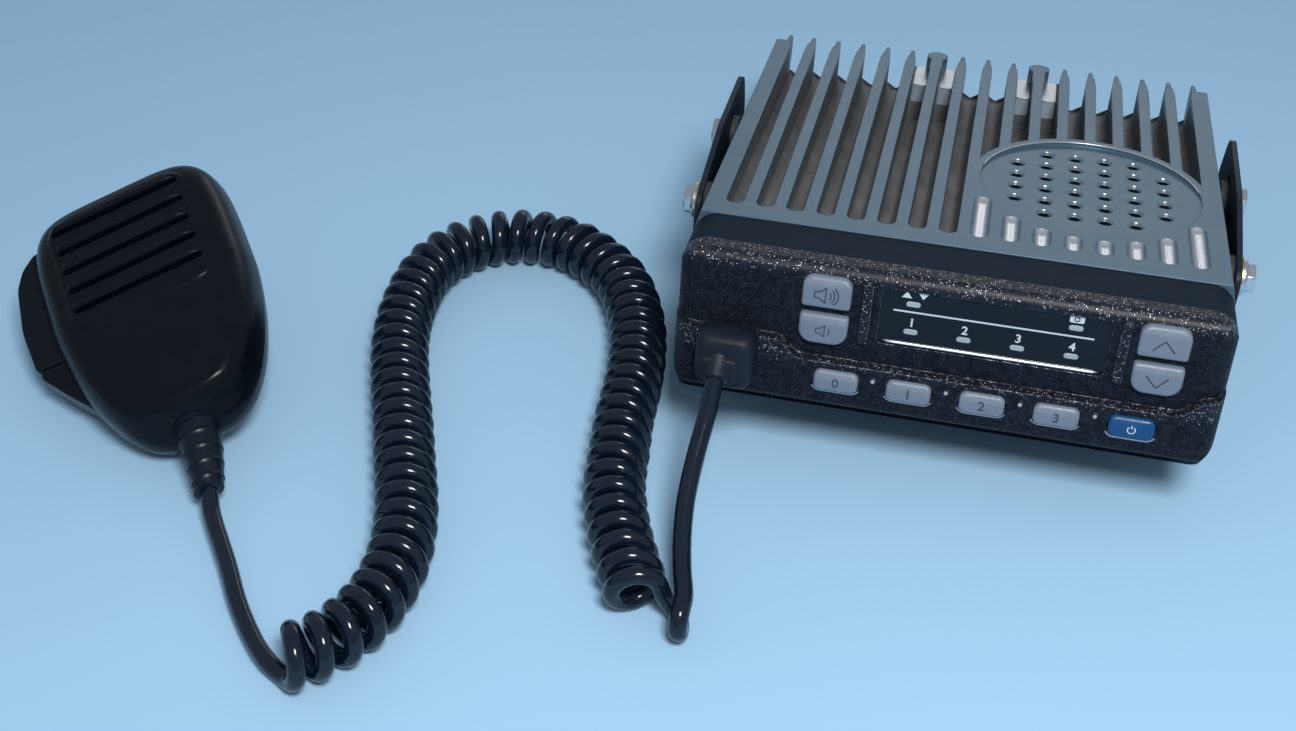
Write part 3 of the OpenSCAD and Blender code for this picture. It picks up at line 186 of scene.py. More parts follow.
def rounded_outline(corners, radii, steps=10):
    """Closed polygon with each corner replaced by an arc that touches both of its sides."""
    pts = np.asarray(corners, float)
    out = []
    for i, r in enumerate(radii):
        a, b, c = pts[i - 1], pts[i], pts[(i + 1) % len(pts)]
        u, v = unit(a - b), unit(c - b)
        half = np.arccos(np.clip(u @ v, -1, 1)) / 2
        mid = b + unit(u + v) * r / np.sin(half)
        p, q = b + u * r / np.tan(half) - mid, b + v * r / np.tan(half) - mid
        start = np.arctan2(p[1], p[0])
        turn = (np.arctan2(q[1], q[0]) - start + 3 * np.pi) % (2 * np.pi) - np.pi
        t = start + turn * np.linspace(0, 1, steps)
        out.append(mid + r * np.stack([np.cos(t), np.sin(t)], -1))
    return np.concatenate(out)


def round_rect(w, h, r, steps=10):
    """Rectangle of width w and height h with round corners, counter-clockwise."""
    x, y = w / 2, h / 2
    return rounded_outline([[-x, -y], [x, -y], [x, y], [-x, y]], [r] * 4, steps)


def squarish(a, b, power, n=72):
    """Superellipse of half sizes a and b: each coordinate is its cosine or sine to the power 2 / power."""
    t = np.linspace(0, 2 * np.pi, n, endpoint=False)
    c, s = np.cos(t), np.sin(t)
    x, y = [np.sign(k) * np.abs(k) ** (2 / power) for k in (c, s)]
    return np.stack([a * x, b * y], -1)


def line_lengths(points):
    """Distance along a line from its first point to each of its points."""
    return np.concatenate([[0], np.cumsum(np.linalg.norm(np.diff(points, axis=0), axis=1))])


def resample(loop, n):
    """n points at equal distances along a closed line, by linear interpolation of its arc length."""
    line = np.concatenate([loop, loop[:1]])
    at = line_lengths(line)
    s = np.linspace(0, at[-1], n, endpoint=False)
    return np.stack([np.interp(s, at, line[:, k]) for k in range(line.shape[1])], -1)


def inset(loop, d):
    """A closed counter-clockwise line moved inwards by d along its own normals."""
    t = unit(np.roll(loop, -1, 0) - np.roll(loop, 1, 0))
    return loop + d * np.stack([-t[:, 1], t[:, 0]], -1)


def ribbon(line, width):
    """Flat strip of the given width along an open line: each point moved half the width to both sides."""
    line = np.asarray(line, float)
    t = unit(np.gradient(line, axis=0))
    side = np.stack([-t[:, 1], t[:, 0]], -1) * width / 2
    pts = np.stack([line - side, line + side], 1)
    return pts.reshape(-1, 2), grid_faces(len(line), 2)


def arc(cx, cy, r, a0, a1, n=18):
    """Points of a circular arc between two angles in degrees."""
    t = np.radians(np.linspace(a0, a1, n))
    return np.stack([cx + r * np.cos(t), cy + r * np.sin(t)], -1)


def level(loop, d, height):
    """A flat closed line moved inwards by d, with a height as its third coordinate."""
    return np.concatenate([inset(loop, d), np.full((len(loop), 1), height)], 1)


def plate(loop, at, thick, edge=0.05):
    """Thin raised plate: a loop at the surface, straight sides, a rim eased by edge and a flat top.

    at(x, z, out) gives the place of a point that stands out mm above the surface.
    """
    pts = np.stack([level(loop, d, out) for d, out in ((0.0, 0.0), (0.0, thick - edge), (edge, thick))])
    return at(pts[..., 0], pts[..., 1], pts[..., 2]), capped_rings(len(pts), len(loop))


def flat_marks(shapes, at):
    """Printed marks: flat (points, faces) in a face's x and z, put just above it by at(x, z)."""
    parts = []
    for pts, faces in shapes:
        pts = np.asarray(pts, float)
        parts.append((at(pts[:, 0], pts[:, 1]), faces))
    return join(*parts)


def filled(loop):
    """A flat area inside a convex closed line, as one face."""
    return np.asarray(loop, float), [list(range(len(loop)))]


def digit(text, cx, cz, height, weight=0.0):
    """A plain numeral from the built-in font as flat faces, its middle at cx, cz."""
    curve = bpy.data.curves.new("numeral", "FONT")
    curve.body = text
    curve.size = 1.0
    curve.offset = weight
    curve.resolution_u = 6
    obj = bpy.data.objects.new("numeral", curve)
    bpy.context.scene.collection.objects.link(obj)
    bpy.context.view_layer.update()
    mesh = obj.to_mesh()
    co = np.zeros(len(mesh.vertices) * 3)
    mesh.vertices.foreach_get("co", co)
    faces = [list(p.vertices) for p in mesh.polygons]
    obj.to_mesh_clear()
    bpy.data.objects.remove(obj)
    bpy.data.curves.remove(curve)
    co = co.reshape(-1, 3)[:, :2]
    lo, hi = co.min(0), co.max(0)
    co = (co - (lo + hi) / 2) * height / (hi[1] - lo[1])
    return co + (cx, cz), faces


def revolve(profile, n=48):
    """Surface of revolution about the first axis: (along, radius) pairs turned through n steps."""
    p = np.asarray(profile, float)
    t = np.linspace(0, 2 * np.pi, n, endpoint=False)
    return np.stack([np.repeat(p[:, :1], n, 1), p[:, 1:] * np.cos(t), p[:, 1:] * np.sin(t)], -1)


# shader groups and finishes

def node(tree, kind, links=None, **settings):
    """Adds a shader node, sets it, and joins or fills its inputs."""
    n = tree.nodes.new("ShaderNode" + kind)
    for key, value in settings.items():
        setattr(n, key, value)
    for socket, value in (links or {}).items():
        target = n.inputs[socket]
        if isinstance(value, bpy.types.NodeSocket):
            tree.links.new(value, target)
        else:
            target.default_value = value
    return n


def math_node(tree, op, a, b=0.0):
    """One step of arithmetic on two values."""
    return node(tree, "Math", {0: a, 1: b}, operation=op).outputs[0]


def all_of(tree, first, *masks):
    """Product of several masks: 1 only where each of them is 1."""
    for mask in masks:
        first = math_node(tree, "MULTIPLY", first, mask)
    return first


def over(tree, value, limit):
    """Mask that is 1 where a value is greater than the limit."""
    return math_node(tree, "GREATER_THAN", value, limit)


def under(tree, value, limit):
    """Mask that is 1 where a value is less than the limit."""
    return math_node(tree, "LESS_THAN", value, limit)


def mix_colour(tree, factor, a, b):
    """Colour a where the factor is 0, b where it is 1."""
    return node(tree, "Mix", {0: factor, 6: a, 7: b}, data_type="RGBA").outputs[2]


def span(tree, value, a, b, lo=0.0, hi=1.0, smooth=False):
    """Value from a to b taken to lo to hi."""
    n = node(tree, "MapRange", {0: value, 1: a, 2: b, 3: lo, 4: hi},
             interpolation_type="SMOOTHSTEP" if smooth else "LINEAR")
    return n.outputs[0]


def new_group(name, inputs, outputs):
    """An empty shader group with float or vector sockets."""
    g = bpy.data.node_groups.new(name, "ShaderNodeTree")
    for label, kind, value in inputs:
        s = g.interface.new_socket(name=label, in_out="INPUT", socket_type="NodeSocket" + kind)
        if kind == "Float":
            s.default_value = value
    for label, kind in outputs:
        g.interface.new_socket(name=label, in_out="OUTPUT", socket_type="NodeSocket" + kind)
    return g, g.nodes.new("NodeGroupInput"), g.nodes.new("NodeGroupOutput")


def group_fine_grain():
    """Fine grain: a fine noise gives a height and a wider one a tone, both from 0 to 1."""
    if "Fine grain" in bpy.data.node_groups:
        return bpy.data.node_groups["Fine grain"]
    g, i, o = new_group("Fine grain", [("Vector", "Vector", None), ("Scale", "Float", 3000.0)],
                        [("Height", "Float"), ("Tone", "Float")])
    a = node(g, "TexNoise", {"Vector": i.outputs["Vector"], "Scale": i.outputs["Scale"], "Detail": 1.5})
    wide = math_node(g, "MULTIPLY", i.outputs["Scale"], 0.31)
    b = node(g, "TexNoise", {"Vector": i.outputs["Vector"], "Scale": wide, "Detail": 1.0})
    g.links.new(span(g, a.outputs[0], 0.3, 0.7), o.inputs["Height"])
    g.links.new(span(g, b.outputs[0], 0.32, 0.68), o.inputs["Tone"])
    return g


def group_slow_mottle():
    """Slow mottle: soft clouds, for the uneven tone of a used surface."""
    if "Slow mottle" in bpy.data.node_groups:
        return bpy.data.node_groups["Slow mottle"]
    g, i, o = new_group("Slow mottle", [("Vector", "Vector", None), ("Scale", "Float", 40.0)],
                        [("Factor", "Float")])
    a = node(g, "TexNoise", {"Vector": i.outputs["Vector"], "Scale": i.outputs["Scale"], "Detail": 4.0,
                             "Roughness": 0.6})
    g.links.new(span(g, a.outputs[0], 0.3, 0.7), o.inputs["Factor"])
    return g


def group_soft_edge():
    """Soft edge: a normal rounded over the radius, and a mask of where it differs from the flat one."""
    if "Soft edge" in bpy.data.node_groups:
        return bpy.data.node_groups["Soft edge"]
    g, i, o = new_group("Soft edge", [("Radius", "Float", 0.0004)], [("Normal", "Vector"), ("Edge", "Float")])
    b = node(g, "Bevel", {"Radius": i.outputs["Radius"]}, samples=4)
    flat = node(g, "NewGeometry")
    dot = node(g, "VectorMath", {0: b.outputs[0], 1: flat.outputs["Normal"]}, operation="DOT_PRODUCT")
    g.links.new(b.outputs[0], o.inputs["Normal"])
    g.links.new(span(g, dot.outputs["Value"], 0.995, 0.8), o.inputs["Edge"])
    return g


def group_glints():
    """Glints: one spot in each cell of a random pattern, kept where the cell's number is below the share."""
    if "Glints" in bpy.data.node_groups:
        return bpy.data.node_groups["Glints"]
    g, i, o = new_group("Glints", [("Vector", "Vector", None), ("Scale", "Float", 1500.0),
                                   ("Share", "Float", 0.2)], [("Mask", "Float")])
    v = node(g, "TexVoronoi", {"Vector": i.outputs["Vector"], "Scale": i.outputs["Scale"]})
    cell = node(g, "SeparateColor", {0: v.outputs["Color"]})
    keep = math_node(g, "LESS_THAN", cell.outputs[0], i.outputs["Share"])
    spot = span(g, v.outputs["Distance"], 0.5, 0.2)
    g.links.new(math_node(g, "MULTIPLY", keep, spot), o.inputs["Mask"])
    return g


def use_group(tree, group, links):
    """Places a shader group in a material, its inputs joined or filled."""
    return node(tree, "Group", links, node_tree=group)


def start_finish(name):
    """A new material with its shader joined: gives the material, tree, shader and Object coordinates."""
    m = bpy.data.materials.new(name)
    m.use_nodes = True
    t = m.node_tree
    t.nodes.clear()
    out = t.nodes.new("ShaderNodeOutputMaterial")
    bsdf = t.nodes.new("ShaderNodeBsdfPrincipled")
    t.links.new(bsdf.outputs[0], out.inputs[0])
    place = t.nodes.new("ShaderNodeTexCoord").outputs["Object"]
    return m, t, bsdf, place


def shade(colour, k):
    """A colour made k times as light, with a full alpha."""
    return tuple(min(1.0, c * k) for c in colour[:3]) + (1.0,)


def finish(name, colour, rough, metal=0.0, grain=3000.0, depth=0.012, mottle=60.0, vary=0.18, edge=0.3,
           lift=0.35, rough_vary=0.12, spec=0.5):
    """A moulded, painted or plated finish.

    Its colour drifts with a slow mottle, a fine grain stands out by depth (mm), and its edges are
    rounded over edge (mm) and rub paler by lift.
    """
    if name in bpy.data.materials:
        return bpy.data.materials[name]
    m, t, bsdf, place = start_finish(name)
    g = use_group(t, group_fine_grain(), {"Vector": place, "Scale": grain})
    c = use_group(t, group_slow_mottle(), {"Vector": place, "Scale": mottle})
    e = use_group(t, group_soft_edge(), {"Radius": edge / MM_IN_M})
    cloud, tone = c.outputs["Factor"], g.outputs["Tone"]
    base = mix_colour(t, cloud, shade(colour, 1 - vary), shade(colour, 1 + vary))
    base = mix_colour(t, math_node(t, "MULTIPLY", tone, 0.35), base, shade(colour, 1 + 1.5 * vary))
    worn = math_node(t, "MULTIPLY", e.outputs["Edge"], lift)
    base = mix_colour(t, worn, base, shade([0.02 + 1.6 * x for x in colour[:3]], 1.0))
    t.links.new(base, bsdf.inputs["Base Color"])
    slow = span(t, cloud, 0, 1, rough - rough_vary / 2, rough + rough_vary / 2)
    fine = span(t, tone, 0, 1, -rough_vary / 3, rough_vary / 3)
    t.links.new(math_node(t, "ADD", slow, fine), bsdf.inputs["Roughness"])
    bump = node(t, "Bump", {"Height": g.outputs["Height"], "Distance": depth / MM_IN_M, "Strength": 1.0,
                            "Normal": e.outputs["Normal"]})
    t.links.new(bump.outputs[0], bsdf.inputs["Normal"])
    bsdf.inputs["Metallic"].default_value = metal
    bsdf.inputs["Specular IOR Level"].default_value = spec
    return m


def shaped_finish(name, colour, rough, **values):
    """Finish of a piece that is rounded in its own mesh, so that no edge is softened or rubbed paler."""
    return finish(name, colour, rough, edge=0.0, lift=0.0, **values)


def radio_place(t, place):
    """Object coordinates taken back into the radio's own frame, in mm, as separate x, y and z."""
    away = node(t, "Mapping", {"Vector": place, "Location": tuple(-PIVOT_IN_BRACKET / MM_IN_M)},
                vector_type="POINT")
    turn = node(t, "Mapping", {"Vector": away.outputs[0], "Rotation": (TILT, 0.0, 0.0),
                               "Location": tuple(PIVOT / MM_IN_M)}, vector_type="POINT")
    size = node(t, "VectorMath", {0: turn.outputs[0], "Scale": MM_IN_M}, operation="SCALE")
    return node(t, "SeparateXYZ", {0: size.outputs[0]}).outputs


def flute_sheen_finish(s):
    """Flutes: a pale metallic colour along the middle line as painted highlight, fading into the casting's
    paint at the sides.

    A flute's middle stands half a pitch from the radio's own.
    The fraction of x over the pitch is 0.5 there.
    """
    m, t, bsdf, place = start_finish("flute_sheen")
    x = radio_place(t, place)[0]
    turn = math_node(t, "FRACT", math_node(t, "DIVIDE", x, GROOVE_PITCH))
    aside = math_node(t, "ABSOLUTE", math_node(t, "SUBTRACT", turn, 0.5))
    # painted highlight: 1 along each flute's middle line, 0 towards its sides
    bare_and_painted_light = span(t, aside, 0.27, 0.06, smooth=True)
    base = mix_colour(t, bare_and_painted_light, shade(s.casting, 1.15), (0.62, 0.62, 0.66, 1.0))
    t.links.new(base, bsdf.inputs["Base Color"])
    t.links.new(span(t, bare_and_painted_light, 0, 1, 0.36, 0.27), bsdf.inputs["Roughness"])
    t.links.new(span(t, bare_and_painted_light, 0, 1, 0.4, 0.8), bsdf.inputs["Metallic"])
    return m


def field_distance(t, x, y):
    """Distance from the middle of the loudspeaker's field, seen from above."""
    aside, along = math_node(t, "SUBTRACT", x, FIELD_X), math_node(t, "SUBTRACT", y, FIELD_Y)
    off = node(t, "CombineXYZ", {0: aside, 1: along})
    return node(t, "VectorMath", {0: off.outputs[0]}, operation="LENGTH").outputs["Value"]


def cast_paint_finish(s):
    """Heat sink: satin paint on the lands, fins and sides, and an unpainted grainy casting down in the
    grooves.

    Masks in the radio's own frame pick out the grooves, the flutes in front of the loudspeaker's field, the
    walls of its holes, and the slopes in front of the machined pads; flutes and hole walls take a paler
    metallic colour as painted highlight, and the slopes a near-black colour as painted shade.
    """
    m, t, bsdf, place = start_finish("cast_paint")
    x, y, z = radio_place(t, place)
    aside = math_node(t, "ABSOLUTE", x)
    far = field_distance(t, x, y)
    side_wall, flutes_from, flutes_front, flutes_back, holes_radius = 73.5, 1.0, 7.0, 34.5, 32.2
    slopes_from, slopes_to, slopes_front, slopes_back = 10.3, 24.5, 116.7, 125.8
    inside = under(t, aside, side_wall)
    flute = all_of(t, span(t, z, LAND - 0.1, LAND - 0.5), under(t, y, flutes_back), over(t, x, flutes_from),
                   over(t, y, flutes_front), over(t, far, FIELD_RADIUS - 0.4), inside)
    dish = span(t, y, FIELD_FRONT, FIELD_FRONT + FIELD_RUN, LAND - 0.2, LAND - 0.2 - FIELD_FALL)
    wall = all_of(t, under(t, far, holes_radius), under(t, z, dish))
    # painted highlight: flutes and hole walls take a paler, more metallic colour
    bright = math_node(t, "MAXIMUM", flute, wall)
    deep = span(t, z, LAND - 1.2, LAND - 3.5, smooth=True)
    deep = all_of(t, deep, inside, math_node(t, "SUBTRACT", 1.0, flute))
    painted_slope_shade = all_of(t, over(t, aside, slopes_from), under(t, aside, slopes_to), over(t, y, slopes_front),
                   under(t, y, slopes_back))

    g = use_group(t, group_fine_grain(), {"Vector": place, "Scale": 2600.0})
    c = use_group(t, group_slow_mottle(), {"Vector": place, "Scale": 45.0})
    e = use_group(t, group_soft_edge(), {"Radius": s.edge_round})
    cloud, tone = c.outputs["Factor"], g.outputs["Tone"]
    paint = mix_colour(t, cloud, shade(s.casting, 0.9), shade(s.casting, 1.1))
    paint = mix_colour(t, math_node(t, "MULTIPLY", tone, 0.25), paint, shade(s.casting, 1.25))
    bare_and_painted_light = mix_colour(t, tone, shade(s.groove, 0.55), shade(s.groove, 1.5))
    bare_and_painted_light = mix_colour(t, math_node(t, "MULTIPLY", cloud, 0.4), bare_and_painted_light, shade(s.groove, 0.7))
    # painted shade: the slopes in front of the pads are made near-black
    bare_and_painted_light = mix_colour(t, math_node(t, "MULTIPLY", painted_slope_shade, 0.8), bare_and_painted_light, shade(s.groove, 0.12))
    base = mix_colour(t, deep, paint, bare_and_painted_light)
    base = mix_colour(t, bright, base, (0.22, 0.28, 0.34, 1.0))
    worn = math_node(t, "MULTIPLY", e.outputs["Edge"], 0.3)
    base = mix_colour(t, worn, base, shade(s.casting, 1.9))
    t.links.new(base, bsdf.inputs["Base Color"])
    rough = math_node(t, "ADD", span(t, cloud, 0, 1, 0.34, 0.42), math_node(t, "MULTIPLY", deep, 0.2))
    rough = math_node(t, "SUBTRACT", rough, math_node(t, "MULTIPLY", bright, 0.15))
    t.links.new(rough, bsdf.inputs["Roughness"])
    metal = math_node(t, "ADD", span(t, deep, 0, 1, 0.35, 0.15), math_node(t, "MULTIPLY", bright, 0.4))
    t.links.new(metal, bsdf.inputs["Metallic"])
    height = math_node(t, "MULTIPLY", g.outputs["Height"], span(t, deep, 0, 1, 0.25, 1.0))
    bump = node(t, "Bump", {"Height": height, "Distance": 0.05 / MM_IN_M, "Normal": e.outputs["Normal"]})
    t.links.new(bump.outputs[0], bsdf.inputs["Normal"])
    return m


def sparkle_finish(s):
    """Bezel: black moulding with a coarse spark-eroded grain whose facets glint, paler on crests as painted
    highlight.
    """
    m, t, bsdf, place = start_finish("sparkle_moulding")
    y, z = radio_place(t, place)[1:]
    # painted highlight: pale flecks along the upper crest and along the ledge above the chin keys
    shelf = all_of(t, span(t, y, -22.5, -23.3), span(t, z, 11.5, 13.5))
    painted_crest_highlight = math_node(t, "MAXIMUM", span(t, z, 37.0, 39.5), math_node(t, "MULTIPLY", shelf, 0.8))
    g = use_group(t, group_fine_grain(), {"Vector": place, "Scale": 1900.0})
    c = use_group(t, group_slow_mottle(), {"Vector": place, "Scale": 70.0})
    e = use_group(t, group_soft_edge(), {"Radius": 0.4 / MM_IN_M})
    k = use_group(t, group_glints(), {"Vector": place, "Scale": 1750.0, "Share": 0.26})
    tone, glint = g.outputs["Tone"], k.outputs["Mask"]
    base = mix_colour(t, tone, shade(s.bezel, 0.6), shade(s.bezel, 1.5))
    fleck = mix_colour(t, painted_crest_highlight, (0.05, 0.054, 0.066, 1.0), (0.62, 0.62, 0.64, 1.0))
    base = mix_colour(t, glint, base, fleck)
    # painted highlight: edges take a pale grey where the grain's tone is high
    painted_edge_highlight = math_node(t, "MULTIPLY", e.outputs["Edge"], span(t, tone, 0.2, 0.9, 0.1, 0.9))
    base = mix_colour(t, painted_edge_highlight, base, (0.30, 0.31, 0.33, 1.0))
    t.links.new(base, bsdf.inputs["Base Color"])
    shine = math_node(t, "MAXIMUM", glint, painted_edge_highlight)
    t.links.new(shine, bsdf.inputs["Metallic"])
    rough = span(t, shine, 0, 1, 0.42, 0.2)
    rough = math_node(t, "ADD", rough, span(t, c.outputs["Factor"], 0, 1, -0.04, 0.06))
    t.links.new(rough, bsdf.inputs["Roughness"])
    bump = node(t, "Bump", {"Height": g.outputs["Height"], "Distance": 0.11 / MM_IN_M,
                            "Normal": e.outputs["Normal"]})
    facet = node(t, "Bump", {"Height": glint, "Distance": 0.16 / MM_IN_M, "Normal": bump.outputs[0]})
    t.links.new(facet.outputs[0], bsdf.inputs["Normal"])
    t.links.new(math_node(t, "MULTIPLY", painted_crest_highlight, 0.3), bsdf.inputs["Coat Weight"])
    bsdf.inputs["Coat Roughness"].default_value = 0.4
    bsdf.inputs["Specular IOR Level"].default_value = 0.10
    return m


def board_finish():
    """Circuit board: green solder mask with a faint net of tracks."""
    m, t, bsdf, place = start_finish("circuit_board")
    v = node(t, "TexVoronoi", {"Vector": place, "Scale": 260.0}, distance="MANHATTAN")
    tracks = span(t, v.outputs["Distance"], 0.35, 0.4)
    base = mix_colour(t, tracks, (0.012, 0.09, 0.035, 1.0), (0.02, 0.16, 0.06, 1.0))
    t.links.new(base, bsdf.inputs["Base Color"])
    t.links.new(span(t, tracks, 0, 1, 0.32, 0.45), bsdf.inputs["Roughness"])
    return m


def mark_white(f):
    """Pale print of the window's and the power key's marks."""
    return shaped_finish("printed_mark", f.mark, 0.45, depth=0.002, vary=0.06)


def mark_dark(f):
    """Dark print of the grey keys' marks and of the ring on the window's small plate."""
    return shaped_finish("dark_print", f.legend, 0.5, depth=0.002)


def jack_moulding():
    """Black moulding of the microphone's and the loudspeaker's jack."""
    return finish("jack_moulding", (0.02, 0.02, 0.022), 0.4)


# settings

def colour(name, description, default):
    """A colour setting."""
    return FloatVectorProperty(name=name, description=description, default=default, size=3, subtype="COLOR",
                               min=0.0, max=1.0)


class TransceiverFinishes(bpy.types.PropertyGroup):
    """Colours of the object's finishes, and the rounding of its casting."""

    casting: colour("Casting", "Paint of the heat sink", (0.072, 0.130, 0.184))
    groove: colour("Grooves", "Bare casting down in the cooling grooves", (0.150, 0.152, 0.155))
    housing: colour("Housing", "Smooth moulding behind the bezel", (0.007, 0.014, 0.024))
    bezel: colour("Bezel", "Textured moulding of the front", (0.007, 0.0095, 0.016))
    window: colour("Window", "Smoked window", (0.004, 0.007, 0.012))
    key: colour("Keys", "Pale grey key caps", (0.145, 0.178, 0.232))
    power: colour("Power key", "Blue key cap", (0.006, 0.056, 0.165))
    mark: colour("Marks", "Printed marks on the window and the power key", (0.52, 0.57, 0.62))
    legend: colour("Legends", "Printed marks on the grey keys", (0.045, 0.052, 0.07))
    rubber: colour("Rubber", "Cord and strain relief", (0.004, 0.009, 0.019))
    mic: colour("Microphone", "Shells and talk key of the microphone", (0.002, 0.0035, 0.0065))
    bracket: colour("Bracket", "Powder coat of the bracket", (0.008, 0.015, 0.024))
    steel: colour("Steel", "Plated screws and bolts", (0.62, 0.63, 0.64))
    brass: colour("Brass", "Spring washers", (0.62, 0.42, 0.14))
    edge_round: FloatProperty(name="Casting edge", description="Rounding of the casting's edges",
                              default=0.0005, min=0.0, max=0.002, unit="LENGTH")


class TransceiverCord(bpy.types.PropertyGroup):
    """Sizes of the curly cord."""

    diameter: FloatProperty(name="Diameter", description="Diameter of the cord", default=0.0051,
                            unit="LENGTH")
    sides: IntProperty(name="Sides", description="Points round the cord", default=14, min=6, max=32)
    steps: IntProperty(name="Steps", description="Rings between two points of the route", default=3,
                       min=1, max=8)


class TransceiverStage(bpy.types.PropertyGroup):
    """Floor and light."""

    floor: colour("Floor", "Pale floor", (0.35, 0.57, 0.77))
    sky: colour("Sky", "Colour of the soft light all round", (0.80, 0.90, 1.0))
    sky_strength: FloatProperty(name="Sky strength", description="Strength of the soft light", default=0.36)
    key_power: FloatProperty(name="Key light", description="Power of the lamp above", default=5.9,
                             unit="POWER")
    back_power: FloatProperty(name="Back light", description="Power of the lamp behind", default=0.75,
                              unit="POWER")


# stage

CAMERA_LENS, CAMERA_SENSOR = 48.61, 36.0
CAMERA_PLACE, CAMERA_TURN = (-0.00274, -0.4534, 0.3449), (50.625, -1.1093, 12.7338)
FLOOR_HALF, FLOOR_POINTS = 4.0, 41


def area_light(name, place, at, size, power, tint):
    """A rectangular lamp at a place that shines towards a point."""
    data = bpy.data.lights.new(name, "AREA")
    data.shape = "RECTANGLE"
    data.size, data.size_y = size
    data.energy = power
    data.color = tint
    obj = bpy.data.objects.new(name, data)
    bpy.context.scene.collection.objects.link(obj)
    obj.location = place
    obj.rotation_euler = (Vector(place) - Vector(at)).to_track_quat("Z", "Y").to_euler()


def photo_camera(scene):
    """The camera at the photograph's angle: its place is in metres, its turn in degrees."""
    cam = bpy.data.cameras.new("photo_camera")
    cam.sensor_width, cam.lens = CAMERA_SENSOR, CAMERA_LENS
    cam.clip_start, cam.clip_end = 0.01, 50.0
    obj = bpy.data.objects.new("photo_camera", cam)
    scene.collection.objects.link(obj)
    turn = Euler([math.radians(angle) for angle in CAMERA_TURN]).to_matrix().to_4x4()
    obj.matrix_world = Matrix.Translation(CAMERA_PLACE) @ turn
    scene.camera = obj


def pale_floor(scene, tint):
    """A level square of paper under the object."""
    u = FLOOR_HALF * np.linspace(-1, 1, FLOOR_POINTS)
    gx, gy = np.meshgrid(u, u, indexing="ij")
    pts = np.stack([gx, gy, np.zeros_like(gx)], -1)
    mesh = bpy.data.meshes.new("floor")
    faces = grid_faces(FLOOR_POINTS, FLOOR_POINTS)[:, ::-1]
    mesh.from_pydata(pts.reshape(-1, 3).tolist(), [], faces.tolist())
    m, t, bsdf, place = start_finish("floor_paper")
    c = use_group(t, group_slow_mottle(), {"Vector": place, "Scale": 3.0})
    base = mix_colour(t, c.outputs["Factor"], shade(tint, 0.985), shade(tint, 1.015))
    t.links.new(base, bsdf.inputs["Base Color"])
    bsdf.inputs["Roughness"].default_value = 0.85
    bsdf.inputs["Specular IOR Level"].default_value = 0.2
    mesh.materials.append(m)
    floor = bpy.data.objects.new("floor", mesh)
    scene.collection.objects.link(floor)


class TRANSCEIVER_OT_stage(bpy.types.Operator):
    """Camera at the photograph's angle, pale floor and soft light"""

    bl_idname = "transceiver.stage"
    bl_label = "Stage"

    def execute(self, context):
        scene, s = context.scene, context.scene.transceiver_stage
        scene.view_settings.view_transform = "Standard"
        photo_camera(scene)
        pale_floor(scene, s.floor)
        world = bpy.data.worlds.new("soft_sky")
        world.use_nodes = True
        back = world.node_tree.nodes["Background"]
        back.inputs["Color"].default_value = (*s.sky, 1.0)
        back.inputs["Strength"].default_value = s.sky_strength
        scene.world = world
        area_light("key_light", place=(0.12, -0.5, 0.68), at=(0.0, -0.1, 0.02), size=(0.2, 0.2),
                   power=s.key_power, tint=(1.0, 1.0, 1.0))
        area_light("back_light", place=(0.04, 1.15, 0.40), at=(0.0, 0.0, 0.05), size=(0.62, 0.26),
                   power=s.back_power, tint=(1.0, 0.99, 0.97))
        return {"FINISHED"}


# cord

COIL_AXIS = np.array([
    (-68, -146), (-75, -132), (-80, -120), (-84, -107), (-86, -93), (-88, -78), (-89, -63), (-91, -48),
    (-95, -32), (-103, -15), (-114, -4), (-126, 2.5), (-139.5, 3.5), (-151.5, -1), (-161, -10.5),
    (-166, -24), (-166, -42), (-163, -59), (-157, -77), (-150, -95), (-144, -111), (-138, -127),
    (-134, -142), (-133, -156), (-135.5, -169), (-141.5, -180), (-150, -188)], float)
COIL_TURNS, COIL_RADIUS, COIL_HEIGHT, CURL_POINTS = 56.75, 6.45, 9.0, 8
RADIO_LEAD = [(-61.4, -107, 26), (-61.6, -118, 19.8), (-60.4, -128, 15), (-58.4, -137, 12),
              (-56.4, -144.3, 11), (-56.2, -150.4, 10.2), (-56.3, -152.3, 6.5), (-56.1, -150.6, 3.5),
              (-57, -146, 2.8), (-59.4, -143.3, 4.4)]
MIC_LEAD = [(-155.8, -184.8, 3.4), (-162.7, -178, 2.9), (-171.1, -167.6, 3.3), (-179, -155.7, 4)]

# nozzle of the plug's boot, and strain relief of the microphone, which the cord runs out of and into

NOZZLE_DROP, NOZZLE_LENGTH = math.radians(36), 5.0
NOZZLE_WAY = np.array([0.0, -math.cos(NOZZLE_DROP), -math.sin(NOZZLE_DROP)])
NOZZLE_ROOT = np.array([-60.5, -31.6, 11.6])
RELIEF_ROOT, RELIEF_LENGTH, RELIEF_DEPTH = -43.5, 21.0, -10.9
RELIEF_LEAN, RELIEF_SLOPE, RELIEF_GRIP = 2.4, 0.17, 7.0


def smooth_line(points, u):
    """Catmull-Rom curve through points at parameters u, the ends continued straight."""
    p = np.asarray(points, float)
    p = np.concatenate([[2 * p[0] - p[1]], p, [2 * p[-1] - p[-2]]])
    k = np.clip(np.floor(u).astype(int), 0, len(p) - 4)
    t = (u - k)[:, None]
    a, b, c, d = p[k], p[k + 1], p[k + 2], p[k + 3]
    square, cube = 2 * a - 5 * b + 4 * c - d, 3 * b - a - 3 * c + d
    return 0.5 * (2 * b + (c - a) * t + square * t ** 2 + cube * t ** 3)


